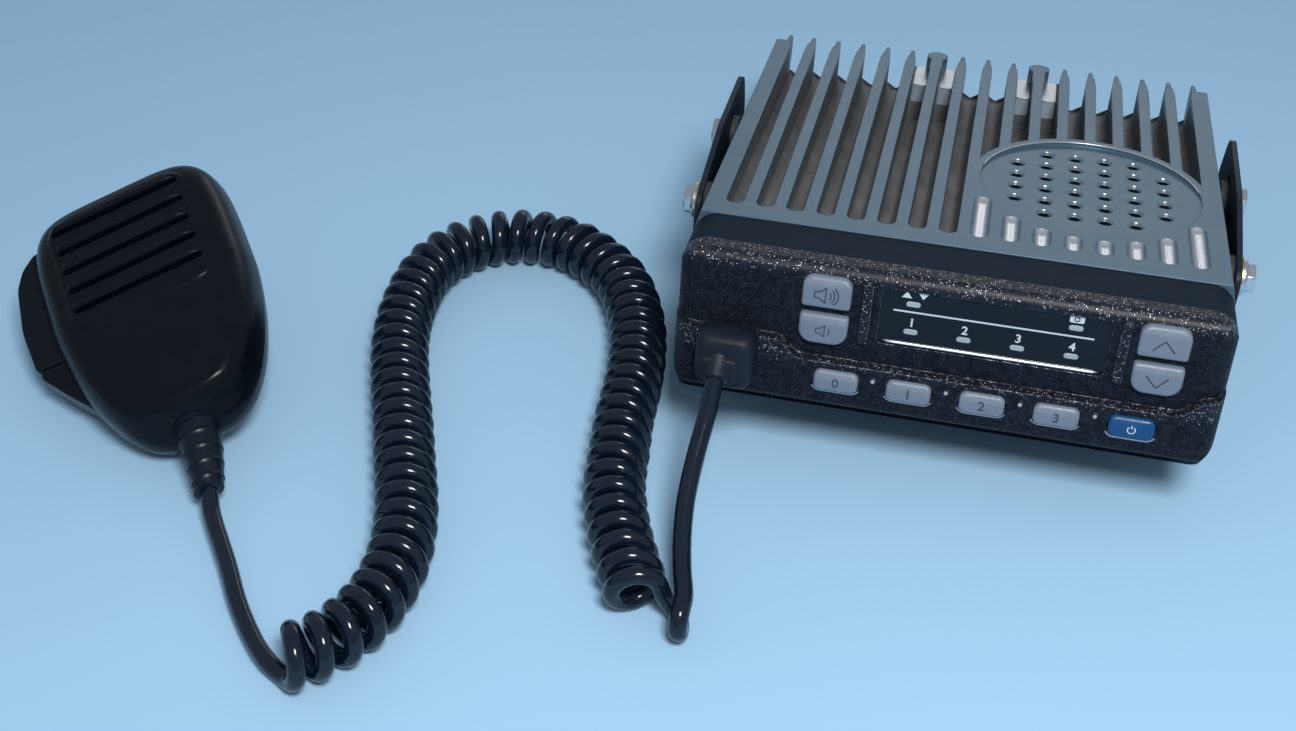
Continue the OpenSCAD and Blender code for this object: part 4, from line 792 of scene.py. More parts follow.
def curl_points():
    """Helix: each point stands a curl's radius off the coil's axis, a share of a turn on from the last."""
    end, fine, near = len(COIL_AXIS) - 1, 12, 0.02
    u = np.linspace(0, end, end * fine + 1)
    at = line_lengths(smooth_line(COIL_AXIS, u))
    n = round(COIL_TURNS * CURL_POINTS)
    v = np.interp(np.linspace(0, at[-1], n + 1), at, u)
    c = smooth_line(COIL_AXIS, v)
    ahead, behind = np.minimum(v + near, end), np.maximum(v - near, 0.0)
    t = unit(smooth_line(COIL_AXIS, ahead) - smooth_line(COIL_AXIS, behind))
    a = math.pi - 2 * math.pi * np.arange(n + 1) / CURL_POINTS
    r = COIL_RADIUS * np.cos(a)
    return np.stack([c[:, 0] - t[:, 1] * r, c[:, 1] + t[:, 0] * r, COIL_HEIGHT + COIL_RADIUS * np.sin(a)], -1)


def cord_route(d):
    """Points of the cord in mm: out of the plug's nozzle, down to the curls, up into the strain relief."""
    nozzle_tip = NOZZLE_ROOT + NOZZLE_LENGTH * NOZZLE_WAY
    start = on_radio(nozzle_tip) * MM_IN_M
    out = on_radio(nozzle_tip + NOZZLE_WAY) * MM_IN_M - start
    end = RELIEF_ROOT - RELIEF_LENGTH
    tip = on_mic((-RELIEF_LEAN, end, RELIEF_DEPTH)) * MM_IN_M
    away = on_mic((-RELIEF_LEAN - RELIEF_SLOPE, end - 1, RELIEF_DEPTH)) * MM_IN_M - tip
    inside = on_mic((-0.6 * RELIEF_LEAN, end + RELIEF_GRIP, RELIEF_DEPTH)) * MM_IN_M
    return np.concatenate([[start, start + d * out, start + 2 * d * out], RADIO_LEAD, curl_points(), MIC_LEAD,
                           [tip + 1.5 * d * away, tip, inside]])


def carried_frames(line):
    """Two side directions for each point of a line, each carried on from the last without twisting."""
    t = unit(np.gradient(line, axis=0))
    side = np.zeros_like(t)
    side[0] = unit(np.cross(t[0], (1.0, 0.0, 0.0)))
    for k in range(1, len(t)):
        side[k] = unit(side[k - 1] - (side[k - 1] @ t[k]) * t[k])
    return side, np.cross(t, side)


def tube(line, radius, sides):
    """Round tube: each point of the line carries a circle in the plane across it; the ends are closed."""
    a, b = carried_frames(line)
    t = np.linspace(0, 2 * np.pi, sides, endpoint=False)
    rings = line[:, None] + radius * (a[:, None] * np.cos(t)[:, None] + b[:, None] * np.sin(t)[:, None])
    return rings, capped_rings(len(line), sides)


class TRANSCEIVER_OT_curly_cord(bpy.types.Operator):
    """Curly cord with its two straight leads, as one tube"""

    bl_idname = "transceiver.curly_cord"
    bl_label = "Curly cord"

    def execute(self, context):
        s, f = context.scene.transceiver_cord, context.scene.transceiver_finishes
        control = cord_route(s.diameter * MM_IN_M)
        u = np.linspace(0, len(control) - 1, (len(control) - 1) * s.steps + 1)
        line = smooth_line(control, u) / MM_IN_M
        jacket = shaped_finish("cord_jacket", f.rubber, 0.15, grain=1400, depth=0.002, vary=0.1,
                               rough_vary=0.06, spec=0.4)
        cord = make_piece("cord", tube(line, s.diameter / 2, s.sides), jacket,
                          replaces=("radio_lead", "curly_cord", "microphone_lead"))
        return {"FINISHED"}


# chassis

PAD_CORNER, PAD_THICK, PAD_POINTS = 0.5, 0.15, 48


def groove_x(i):
    """Middle line of cooling groove or flute i, counted from the left."""
    return (i - (GROOVE_COUNT - 1) / 2) * GROOVE_PITCH


def field_edge_y(x, end):
    """Place of the loudspeaker field's round edge at x: end is 1 for the rear half, -1 for the front half."""
    return FIELD_Y + end * np.sqrt(FIELD_RADIUS ** 2 - (x - FIELD_X) ** 2)


def groove_line(y):
    """Height of a groove's floor line, which falls towards the back."""
    return GROOVE_FLOOR - GROOVE_FALL * (y - GROOVE_FRONT) / GROOVE_RUN


def groove_floor(i):
    """Rounded floor of cooling groove i: height = floor line + r - sqrt(r^2 - d^2).

    d is the distance off the middle line. The last 12 mm widen, and the front end rises in a quarter of
    a ball: on a half circle for the left grooves, behind the loudspeaker's round field for the right ones.
    """
    x0, r, lift, wall = groove_x(i), GROOVE_RADIUS, 0.02, 0.15
    flare, flare_from, flare_run = 0.95, 133, 13
    across = np.sin(np.linspace(-np.pi / 2, np.pi / 2, 21))
    along = np.concatenate([np.linspace(0.002, 0.03, 14), np.linspace(0.045, 1, 60)])[:, None]
    left = i < GROOVE_COUNT // 2
    if left:
        start = GROOVE_FRONT + r * (1 - np.sqrt(1 - across ** 2))
    else:
        start = field_edge_y(x0 + r * across, 1)
    y = start + along * (GROOVE_BACK - start)
    wide = 1 + flare / r * np.clip((y - flare_from) / flare_run, 0, 1)
    x = x0 + r * across * wide
    ahead = np.clip((GROOVE_FRONT + r - y) / r if left else 1 - (y - start) / r, 0, 1)
    d = np.minimum(np.hypot(across * np.ones_like(y), ahead), 1)
    z = groove_line(y) + r * (1 - np.sqrt(1 - d * d)) + lift
    top = np.stack([x, y, z], -1)
    below = top[:, ::-1].copy()
    below[..., 2] = groove_line(below[..., 1]) - wall
    return pinched(np.concatenate([top, below], 1))


def fin_tip(x0, width):
    """Thin rear tip of a cooling fin: sections that narrow towards the back.

    On its half sizes a section is |x|^8 + |z|^8 = 1.
    The top runs level and then falls on an arc. The lower edge rises behind the rear face.
    """
    front, thin_from, end, bend, drop = 136, 139, 149, 144.5, 4.5
    foot, foot_rise, foot_from, foot_run = 28, 7, 145, 4
    y = np.concatenate([np.linspace(front, bend, 12), bend + drop * np.sin(np.linspace(0.1, 1.5, 14))])
    past = np.clip(y - bend, 0, drop)
    top = LAND - 0.03 - drop + np.sqrt(drop ** 2 - past ** 2)
    low = foot + foot_rise * (np.clip(y - foot_from, 0, None) / foot_run) ** 2
    half = width / 2 * np.interp(y, [front, thin_from, end], [1.0, 1.0, 0.36])
    section = squarish(1.0, 1.0, 8, 32)
    z = (top + low)[:, None] / 2 + (top - low)[:, None] / 2 * section[:, 1]
    x = x0 + half[:, None] * section[:, 0]
    return pinched(np.stack([x, np.repeat(y[:, None], len(section), 1), z], -1))


def machined_pad(x):
    """Bare pad on a rear boss: a thin plate that lies level."""
    width, length, y, z = 4.6, 17.0, 135.2, 37.0
    loop = resample(round_rect(width, length, PAD_CORNER), PAD_POINTS)
    return plate(loop, lambda u, v, out: on_radio(np.stack([x + u, y + v, z + out], -1)), PAD_THICK)


def pad_slope(x):
    """Pale plate in front of a pad, its colour a painted reflection: a thin plate that leans with the boss.
    """
    width, length, y, z, run, rise = 4.4, 6.0, 123.75, 35.05, 0.747, 0.664
    loop = resample(round_rect(width, length, PAD_CORNER), PAD_POINTS)

    def leaning(u, v, out):
        return on_radio(np.stack([x + u, y + run * v - rise * out, z + rise * v + run * out], -1))

    return plate(loop, leaning, PAD_THICK)


def flute_floor(i):
    """Shallow round floor of flute i: a capsule in plan, height = land - (sqrt(R^2 - d^2) - sqrt(R^2 - r^2)).

    d is the distance off the capsule's middle line; rings of growing d run round the capsule.
    """
    x0, r, big, underside = groove_x(i), 2.62, 3.7, 40.6
    y0 = GROOVE_FRONT + GROOVE_RADIUS
    y1 = max(field_edge_y(x0, -1) - GROOVE_RADIUS, y0 + 0.05)
    t = np.linspace(0, 2 * np.pi, 48, endpoint=False)
    middle = np.where(np.sin(t) > 0, y1, y0)
    d = np.linspace(0.01, 1, 16)[:, None] * r
    z = LAND + 0.03 - (np.sqrt(big ** 2 - d ** 2) - math.sqrt(big ** 2 - r ** 2))
    top = np.stack([x0 + d * np.cos(t), middle + d * np.sin(t), np.repeat(z, len(t), 1)], -1)
    below = top[::-1] * (1, 1, 0) + (0, 0, underside)
    return np.concatenate([top, below, top[:1]])[::-1]


def grille_places():
    """Middles of the loudspeaker's holes on its leaning field: six rows of six without the corners."""
    at = [(i, j) for i in range(6) for j in range(6) if not (i in (0, 5) and j in (0, 5))]
    i, j = np.array(at).T - 2.5
    x, y = FIELD_X + i * GROOVE_PITCH, FIELD_Y + j * GROOVE_PITCH
    return np.stack([x, y, FIELD_TOP - (y - FIELD_FRONT) * FIELD_FALL / FIELD_RUN], -1)


def grille_bowl():
    """Rounded mouth of a loudspeaker hole: a band of a ball's inside, closed underneath."""
    mouth, throat, ball = 2.4, 1.4, 2.8
    r = np.linspace(mouth, throat, 9)
    z = 1.46 - np.sqrt(ball ** 2 - r ** 2)
    back = [(-1.6, throat), (-2.2, throat), (-2.2, 1.7), (-0.9, 2.0), (-0.1, mouth)]
    return upright(revolve([*zip(z, r), *back, (z[0], r[0])], 32))


def grille_plug():
    """Dark disc that closes a loudspeaker hole just below its mouth: painted shade for the hole's depth."""
    radius, low, high = 1.8, -1.2, -0.75
    return upright(revolve([(low, 0), (low, radius), (high, radius), (high, 0)], 24))


def field_bead():
    """Thin bead along the rear edge of the loudspeaker's field, pale metal as painted highlight: a tube on an
    arc of its circle.
    """
    line = arc(FIELD_X, FIELD_Y, 32.55, 12, 168, 80)
    return tube(on_radio(np.insert(line, 2, LAND - 0.1, axis=1)), 0.28 / MM_IN_M, 10)


class TRANSCEIVER_OT_chassis(bpy.types.Operator):
    """Painted heat sink with its grooves, flutes, pads and loudspeaker holes, bottom cover and screws"""

    bl_idname = "transceiver.chassis"
    bl_label = "Chassis"

    def execute(self, context):
        f = context.scene.transceiver_finishes
        dress(cast_paint_finish(f), "heatsink_chassis")
        dress(finish("cover_paint", (0.05, 0.058, 0.068), 0.45, grain=2500, depth=0.02), "bottom_cover")
        dress(finish("plated_screw", f.steel, 0.3, metal=1.0, grain=5000, depth=0.003), "bottom_screws",
              "panel_screws", "board_screws", "mic_screws")

        tips = [fin_tip(k * GROOVE_PITCH, 2.5) for k in range(-7, 8) if abs(k) != 2]
        tips += [fin_tip(side * 69.1, 2.2) for side in (-1, 1)]
        tip_paint = shaped_finish("tip_paint", f.casting, 0.38, metal=0.35, grain=2600, vary=0.1)
        make_piece("fin_tips", join(*[sweep(on_radio(tip)) for tip in tips]), tip_paint)

        bare_and_painted_light = finish("machined_pad", (0.50, 0.52, 0.55), 0.34, metal=1.0, grain=4000, depth=0.0006,
                      vary=0.06, rough_vary=0.03)
        pads = {"la": -1.5, "lb": -2.5, "ra": 2.5, "rb": 1.5}
        for which, k in pads.items():
            make_piece(f"machined_pad_{which}", machined_pad(k * GROOVE_PITCH), bare_and_painted_light)
        # painted reflection: the plates in front of the pads are paler than the casting's paint
        pale = finish("cast_slope", (0.17, 0.21, 0.245), 0.4, metal=0.3, depth=0.004, vary=0.1)
        slopes = [pad_slope(k * GROOVE_PITCH) for k in pads.values()]
        make_piece("pad_slopes", join(*slopes), pale)

        flutes = [sweep(on_radio(flute_floor(i))) for i in range(GROOVE_COUNT // 2, GROOVE_COUNT)]
        make_piece("flute_floors", join(*flutes), flute_sheen_finish(f))
        # painted highlight: the holes' mouths are pale metal instead of the casting's paint
        mouth = shaped_finish("grille_mouth", (0.55, 0.57, 0.6), 0.24, metal=0.85, depth=0.0001, vary=0.04,
                              rough_vary=0.01)
        bowls = [sweep(on_radio(place + grille_bowl())) for place in grille_places()]
        make_piece("grille_bowls", join(*bowls), mouth)
        # painted highlight: pale metal on the bead along the field's rear edge
        sheen = shaped_finish("edge_sheen", (0.5, 0.5, 0.54), 0.27, metal=0.75, depth=0.0001, vary=0.04,
                              rough_vary=0.01)
        make_piece("field_edge", field_bead(), sheen)
        # painted shade: near-black discs inside the holes
        dark = shaped_finish("hole_shade_disc", (0.002, 0.002, 0.003), 0.9, spec=0.05)
        plugs = [sweep(on_radio(place + grille_plug())) for place in grille_places()]
        make_piece("hole_shade_disc", join(*plugs), dark)
        rough = shaped_finish("bare_casting", f.groove, 0.5, metal=0.2, grain=2400, depth=0.05, mottle=90,
                              vary=0.35)
        liners = [sweep(on_radio(groove_floor(i))) for i in range(GROOVE_COUNT)]
        make_piece("groove_floors", join(*liners), rough)
        return {"FINISHED"}


# front unit

def on_window(x, z, out=0.03):
    """A place on the smoked window's front, out mm above it."""
    return on_radio(np.stack([x, np.full_like(x, WINDOW_FRONT) - out, z], -1))


def on_window_plate(x, z, out):
    """A place above the window's front for a plate whose foot is let in by a little."""
    return on_window(x, z, out - 0.02)


def window_print():
    """Printed marks of the window: a line, the numbers 1 to 4 below it, and two small arrowheads above it."""
    first, step, numbers_z = -9.95, 14.3, 28.1
    line = np.stack([np.linspace(-15.3, 38.2, 24), np.full(24, 31.3)], -1)
    numbers = [digit(str(i + 1), first + step * i, numbers_z, 2.6, 0.02) for i in range(4)]
    low, high = 35.5, 37.4
    arrows = [filled([(-13.6, low), (-10.8, low), (-12.2, high)]),
              filled([(-9.2, high), (-7.8, low), (-6.4, high)])]
    return flat_marks([ribbon(line, 0.52), *numbers, *arrows], on_window)


def pill_lenses():
    """Small oblong lenses on the window: four in a row under the numbers, and two above the line."""
    spots = [(-9.95 + 14.35 * i, 25.2) for i in range(4)] + [(-10.2, 33.7), (33.0, 33.9)]
    loop = resample(round_rect(3.9, 1.6, 0.78), 40)
    return join(*[plate(loop + spot, on_window_plate, 0.25, 0.12) for spot in spots])


def recess_lip(x0, radius):
    """Pale metal lower lip of a chin key's recess, painted highlight: a tube along the lower part of a
    rounded rectangle.
    """
    width, height, corner, low_from, y = 13.6, 7.4, 2.6, -2.2, -25.0
    loop = resample(round_rect(width, height, corner), 120)
    low = loop[loop[:, 1] < low_from]
    low = low[np.argsort(np.arctan2(low[:, 0], -low[:, 1]))] + (x0, CHIN_Z)
    return tube(on_radio(np.insert(low, 1, y, axis=1)), radius / MM_IN_M, 10)


def guide_dome(x0):
    """Small dome between two chin keys: a low profile turned about the line that points forwards."""
    y, z = -25.6, 9.9
    dome = revolve([(-0.3, 0), (-0.3, 0.62), (0.1, 0.58), (0.25, 0.47), (0.36, 0.3), (0.42, 0.0)], 24)
    return sweep(on_radio(np.stack([dome[..., 1] + x0, y - dome[..., 0], dome[..., 2] + z], -1)))


def window_trim():
    """Lower trim of the window, near-white metal as painted highlight: a half-round bar whose section shrinks
    to a point at both ends.
    """
    start, length, z, half, proud = -17.3, 58.2, 21.5, 0.5, 0.7
    u = np.linspace(0, 1, 40)
    t = np.linspace(-np.pi / 2, np.pi / 2, 9)
    size = np.sin(np.pi * np.clip(np.minimum(u, 1 - u) * 14, 0, 0.5))[:, None]
    x = np.repeat((start + length * u)[:, None], len(t), 1)
    bar = on_radio(np.stack([x, WINDOW_FRONT - proud * np.cos(t) * size, z + half * size * np.sin(t)], -1))
    return bar, grid_faces(len(u), len(t))


class TRANSCEIVER_OT_front_unit(bpy.types.Operator):
    """Smooth housing, sparkling bezel, smoked window with its printed marks"""

    bl_idname = "transceiver.front_unit"
    bl_label = "Front unit"

    def execute(self, context):
        f = context.scene.transceiver_finishes
        dress(finish("smooth_housing", f.housing, 0.55, grain=3200, depth=0.008, vary=0.12, edge=0.6,
                     spec=0.05), "front_housing")
        dress(sparkle_finish(f), "front_bezel")
        dress(finish("smoked_window", f.window, 0.14, grain=2000, depth=0.0005, vary=0.1, rough_vary=0.03,
                     spec=0.2), "display_window")
        dress(finish("light_pipe", (0.5, 0.55, 0.6), 0.3, depth=0.002), "indicator_lights")

        white, dark = mark_white(f), mark_dark(f)
        make_piece("window_marks", window_print(), white, closed=False)
        pill = finish("pill_lens", (0.30, 0.35, 0.39), 0.35, depth=0.002, vary=0.08, edge=0.1)
        make_piece("pill_lenses", pill_lenses(), pill)
        sign = np.array([32.9, 36.6])
        badge = plate(resample(round_rect(3.9, 2.3, 0.5), 40) + sign, on_window_plate, 0.12, 0.04)
        make_piece("mark_plate", badge, white)
        ring = ribbon(arc(*sign, 0.62, 0, 360, 28), 0.34)
        make_piece("mark_ring", flat_marks([ring], lambda x, z: on_window(x, z, 0.16)), dark,
                   closed=False)

        # painted highlight: pale metal lips stand for the light on the recesses' lower rims
        painted_lip_highlight = shaped_finish("bright_rim", (0.42, 0.44, 0.48), 0.3, metal=1.0, depth=0.002, vary=0.1)
        lips = [recess_lip(x, 0.30) for x in CHIN_KEYS[:-1]] + [recess_lip(CHIN_KEYS[-1], 0.45)]
        make_piece("key_recess_lips", join(*lips), painted_lip_highlight)
        # painted highlight: the domes are pale grey
        pale = shaped_finish("guide_dome", (0.30, 0.33, 0.37), 0.25, depth=0.001, vary=0.05)
        make_piece("guide_domes", join(*[guide_dome(x + 10.1) for x in CHIN_KEYS[:-1]]), pale)
        # painted highlight: near-white metal along the window's lower lip
        painted_trim_highlight = shaped_finish("bright_trim", (0.86, 0.88, 0.9), 0.34, metal=1.0, depth=0.001, vary=0.03)
        make_piece("window_trim", window_trim(), painted_trim_highlight)
        return {"FINISHED"}


# keys

KEY_RIM, KEY_CROWN, KEY_FLANGE, FLANGE_DEPTH = 0.9, 0.05, 0.9, 1.2
KEY_POINTS, WIDE_WIDTH = 96, 13.5
WIDE_FRONT, WIDE_INSIDE = -24.7, -20.1
CHIN_FRONT, CHIN_INSIDE = -26.6, -22.6
VOLUME_X, CHANNEL_X, UPPER_Z, LOWER_Z = -33.5, 56.0, 34.5, 23.1


def wide_outline(height, low_round, high_round):
    """Outline of a key beside the window: a rectangle with its own rounding below and above."""
    x, z = WIDE_WIDTH / 2, height / 2
    corners = [(-x, -z), (x, -z), (x, z), (-x, z)]
    return resample(rounded_outline(corners, [low_round, low_round, high_round, high_round]), KEY_POINTS)


def key_cap(outline, x, z, front, inside):
    """Key: a flange behind the face, straight sides, a rounded rim and a crowned front whose top leans back.

    Ring k is the outline moved in by d(k) and set back to y(k).
    The crown shrinks the last ring to its middle.
    The lean is a softened ramp, ln(1 + exp(h)), of the height above a line near the key's top.
    """
    depth, edge = inside + FLANGE_DEPTH, front + KEY_CROWN + KEY_RIM
    t = np.linspace(0, np.pi / 2, 6)
    rim = [(KEY_RIM * (1 - np.cos(a)), edge - KEY_RIM * np.sin(a)) for a in t]
    steps = [(-KEY_FLANGE, depth), (-KEY_FLANGE, inside), (0.0, inside), *rim]
    rings = [level(outline, d, y) for d, y in steps]
    last = inset(outline, KEY_RIM)
    middle = last.mean(0)
    for k in np.linspace(0.92, 0.0, 12):
        rings.append(level(middle + (last - middle) * k, 0.0, front + KEY_CROWN * k * k))
    rings.insert(0, level(np.tile(middle, (len(last), 1)), 0.0, depth))
    p = np.stack(rings)
    lean_from, softness, lean = outline[:, 1].max() - 2.3, 0.22, 0.42
    back = np.logaddexp(0.0, (p[..., 1] - lean_from) / softness) * softness * lean
    y = p[..., 2] + np.where(p[..., 2] < front + 1.0, back, 0.0)
    return sweep(on_radio(np.stack([p[..., 0] + x, y, p[..., 1] + z], -1)))


def key_marks(signs, x, z, front):
    """Printed sign of a key, just in front of its face."""
    def on_face(u, v):
        return on_radio(np.stack([u + x, np.full_like(u, front - 0.03), v + z], -1))

    return flat_marks(signs, on_face)


def strokes(points, width):
    """A flat strip of the given width along each side of a line with corners."""
    points = np.asarray(points, float)
    return [ribbon(np.stack(pair), width) for pair in zip(points[:-1], points[1:])]


def speaker_sign(waves):
    """Generic loudspeaker sign: a magnet block and a horn, drawn as outline strokes, with sound arcs."""
    horn = [(-2.4, 0.75), (-1.3, 0.75), (0.1, 1.9), (0.1, -1.9), (-1.3, -0.75), (-2.4, -0.75), (-2.4, 0.75)]
    return strokes(horn, 0.36) + [ribbon(arc(0.1, 0.0, r, -48, 48, 14), 0.36) for r in waves]


def arrow_sign(up):
    """Chevron that points up, or down where up is -1."""
    return strokes([(-2.9, -1.6 * up), (0.0, 1.6 * up), (2.9, -1.6 * up)], 0.46)


def power_sign():
    """Generic power sign: an open ring and a bar."""
    return [ribbon(arc(0, 0, 1.15, 125, 415, 30), 0.34), *strokes([(0, 0.35), (0, 1.55)], 0.34)]


def moved(shapes, dx, dz, k=1.0):
    """Flat shapes made k times as large and moved."""
    return [(np.asarray(p) * k + (dx, dz), f) for p, f in shapes]


class TRANSCEIVER_OT_keys(bpy.types.Operator):
    """Key caps and their printed signs, each on its own moving body"""

    bl_idname = "transceiver.keys"
    bl_label = "Keys"

    def execute(self, context):
        f = context.scene.transceiver_finishes
        grey = shaped_finish("key_cap", f.key, 0.42, grain=3600, depth=0.006, vary=0.05)
        blue = shaped_finish("power_cap", f.power, 0.3, grain=3600, depth=0.006, vary=0.08, spec=0.3)
        upper, lower = wide_outline(9.2, 1, 3), wide_outline(8.8, 4, 1)
        chin = resample(round_rect(12.4, 6.2, 2.0), KEY_POINTS)
        louder, softer = speaker_sign((1.2, 2.0, 2.8)), speaker_sign((1.4,))
        keys = {
            "volume_up_key": (upper, VOLUME_X, UPPER_Z, moved(louder, -0.3, -0.5, 1.22)),
            "volume_down_key": (lower, VOLUME_X, LOWER_Z, moved(softer, 0.4, -0.1, 0.95)),
            "channel_up_key": (upper, CHANNEL_X, UPPER_Z, moved(arrow_sign(1), 0, -0.7)),
            "channel_down_key": (lower, CHANNEL_X, LOWER_Z, moved(arrow_sign(-1), 0, -0.4)),
            "power_key": (chin, CHIN_KEYS[-1], CHIN_Z, moved(power_sign(), 0, -0.1, 0.9)),
        }
        for i, x in enumerate(CHIN_KEYS[:-1]):
            keys[f"function_key_{i}"] = (chin, x, CHIN_Z, [digit(str(i), 0, -0.05, 2.9, 0.02)])
        for name, (outline, x, z, signs) in keys.items():
            front, inside = (CHIN_FRONT, CHIN_INSIDE) if outline is chin else (WIDE_FRONT, WIDE_INSIDE)
            if name == "power_key":
                cap, ink, slot = blue, mark_white(f), "power_key"
            else:
                cap, ink, slot = grey, mark_dark(f), "key"
            make_piece(name + "_cap", key_cap(outline, x, z, front, inside), cap, body=name,
                       replaces=(name,), sharp=60)
            make_piece(name + "_sign", key_marks(signs, x, z, front), ink, body=name,
                       closed=False)
        return {"FINISHED"}


# plug boot

def boot_body():
    """Squarish body of the boot: superellipses of half size h at depth y, a little taller than wide."""
    body = [(-25.1, 0.0), (-25.1, 8.3), (-26.0, 8.3), (-26.6, 8.6), (-29.5, 8.35), (-31.6, 7.9), (-32.6, 7.4),
            (-33.3, 6.6), (-33.6, 5.6), (-33.62, 3.0), (-33.62, 0.0)]
    x, z, power, taller = -59.0, 12.7, 5.5, 0.25
    rings = [np.insert(squarish(h, h + taller * (h > 0), power) + (x, z), 1, y, axis=1) for y, h in body]
    return sweep(on_radio(np.stack(rings)))


def boot_block():
    """Low block on the boot's front, under the nozzle: flatter superellipses of half size h at depth y."""
    block = [(-33.0, 0.0), (-33.0, 5.9), (-34.2, 5.6), (-34.8, 5.0), (-35.0, 4.0), (-35.0, 0.0)]
    x, z, power, flatness = -60.2, 11.0, 5.0, 0.72
    rings = [np.insert(squarish(h, flatness * h, power) + (x, z), 1, y, axis=1) for y, h in block]
    return sweep(on_radio(np.stack(rings)))


def boot_nozzle():
    """Tapering nozzle: a profile turned about the line along which the cord leaves the boot."""
    end = NOZZLE_LENGTH
    prof = [(-4, 0), (-4, 5.4), (-1, 4.9), (2.2, 4.3), (4.4, 3.75), (4.9, 3.5), (end, 3.2), (end, 0)]
    along, across, up = np.split(revolve(prof, 48), 3, axis=-1)
    side = np.array([1.0, 0.0, 0.0])
    rise = np.array([0.0, -math.sin(NOZZLE_DROP), math.cos(NOZZLE_DROP)])
    return sweep(on_radio(NOZZLE_ROOT + along * NOZZLE_WAY + across * side + up * rise))


class TRANSCEIVER_OT_plug_boot(bpy.types.Operator):
    """Rubber boot over the microphone plug, with its sloping nozzle"""

    bl_idname = "transceiver.plug_boot"
    bl_label = "Plug boot"

    def execute(self, context):
        rubber = shaped_finish("boot_rubber", (0.0065, 0.0105, 0.0175), 0.5, grain=1500, depth=0.02,
                               vary=0.25, spec=0.22)
        make_piece("plug_boot_rubber", join(boot_body(), boot_block(), boot_nozzle()), rubber,
                   replaces=("plug_boot",))
        dress(finish("clear_plug", (0.55, 0.6, 0.62), 0.2, depth=0.002), "modular_plug")
        dress(jack_moulding(), "microphone_jack")
        return {"FINISHED"}


# bracket

def flange_bolt(side, y, z):
    """Hexagon flange bolt: a turned profile whose head is cut to six flats, the smaller radius winning."""
    prof = np.array([(-6, 0), (-6, 2.5), (4.4, 2.5), (4.4, 5.3), (4.5, 5.5), (5.1, 5.5), (5.5, 5.25),
                     (5.95, 4.75), (6.0, 9.0), (7.6, 9.0), (7.9, 4.35), (8.2, 3.9), (8.25, 3.6),
                     (8.25, 3.2), (7.9, 2.8), (7.9, 0)])
    n, body_half, head_from, across_flats, across_corners = 96, 75.0, 5.96, 8.0, 9.04
    t = np.linspace(0, 2 * np.pi, n, endpoint=False)
    hexagon = across_flats / 2 / np.cos((t + np.pi / 6) % (np.pi / 3) - np.pi / 6)
    head = np.minimum(prof[:, 1:], np.minimum(hexagon, across_corners / 2))
    r = np.where(prof[:, :1] > head_from, head, prof[:, 1:])
    x = side * (body_half + np.repeat(prof[:, :1], n, 1))
    return on_radio(np.stack([x, y + r * np.cos(t), z + r * np.sin(t)], -1))


class TRANSCEIVER_OT_bracket(bpy.types.Operator):
    """Powder-coated bracket, flange bolts and washers"""

    bl_idname = "transceiver.bracket"
    bl_label = "Bracket"

    def execute(self, context):
        f = context.scene.transceiver_finishes
        dress(finish("powder_coat", f.bracket, 0.45, grain=1800, depth=0.02, edge=0.5, lift=0.3, spec=0.2),
              "mounting_bracket")
        plated = shaped_finish("plated_bolt", f.steel, 0.26, metal=1.0, grain=4000, depth=0.004, vary=0.1)
        for name, y, z in (("pivot_bolts", *PIVOT[1:]), ("slot_bolts", 75.0, 33.0)):
            bolts = [sweep(flange_bolt(side, y, z)) for side in (-1, 1)]
            make_piece(name + "_plated", join(*bolts), plated, replaces=(name,), sharp=28)
        dress(finish("washer_fibre", (0.03, 0.03, 0.032), 0.7), "friction_washers")
        dress(finish("washer_brass", f.brass, 0.3, metal=1.0, grain=4000, depth=0.004, vary=0.12),
              "spring_washers")
        return {"FINISHED"}


# rear sockets

class TRANSCEIVER_OT_rear_sockets(bpy.types.Operator):
    """Threaded antenna socket, power inlet and loudspeaker jack"""

    bl_idname = "transceiver.rear_sockets"
    bl_label = "Rear sockets"

    def execute(self, context):
        f = context.scene.transceiver_finishes
        dress(finish("socket_plate", f.steel, 0.22, metal=1.0, grain=4000, depth=0.003, vary=0.08, edge=0.2),
              "antenna_socket")
        dress(finish("inlet_nylon", (0.62, 0.60, 0.54), 0.5, depth=0.006), "power_inlet")
        dress(jack_moulding(), "speaker_jack")
        return {"FINISHED"}


# microphone

MIC_FRONT = np.array([(0, -13), (0.12, -11.4), (0.5, -8.5), (1.0, -6.4), (1.6, -5), (2.4, -3.6), (3.4, -2.4),
                      (4.3, -1.5), (5.3, -0.8), (6.4, -0.25), (7.5, 0), (60, 0)], float)
MIC_REAR = np.array([(0, -13.2), (0.2, -15.5), (0.6, -18), (1.3, -20.6), (2.4, -23), (4.0, -25.2), (6, -27),
                     (8.2, -28.7), (10.5, -30), (60, -30)], float)
MIC_HALF_W, MIC_HALF_H, MIC_TAPER, MIC_PARTING = 31.5, 46.0, 0.34, -13.2
MIC_RIM = np.array([0, 0.03, 0.1, 0.25, 0.5, 0.9, 1.4, 2.0, 2.7, 3.5, 4.5, 5.6, 6.8])
MIC_SLOTS = 33.8 - 7.5 * np.arange(5)
SLOT_HALF, SLOT_ROUND, SLOT_DEPTH = 20.3, 0.95, 3.6
RIB_HEIGHT, RIB_OFFSET, RIB_HALF = 0.95, 2.15, 1.2
RAISED_HALF_W, RAISED_HALF_H, RAISED_MIDDLE, RAISED_CORNER, RAISED_HEIGHT = 22.6, 21.8, 17.3, 7, 0.75
TALK_LOW, TALK_HIGH, POCKET, POCKET_SPARE = -19.5, -9.5, -22.8, 0.5
POCKET_ENDS = np.array([-8.72, -8.68, 40.78, 40.82])


def mic_narrow(v):
    """How much the outline narrows at height v, below the middle."""
    return 1 - MIC_TAPER * np.clip((5 - v) / (MIC_HALF_H + 5), 0, None) ** 1.5


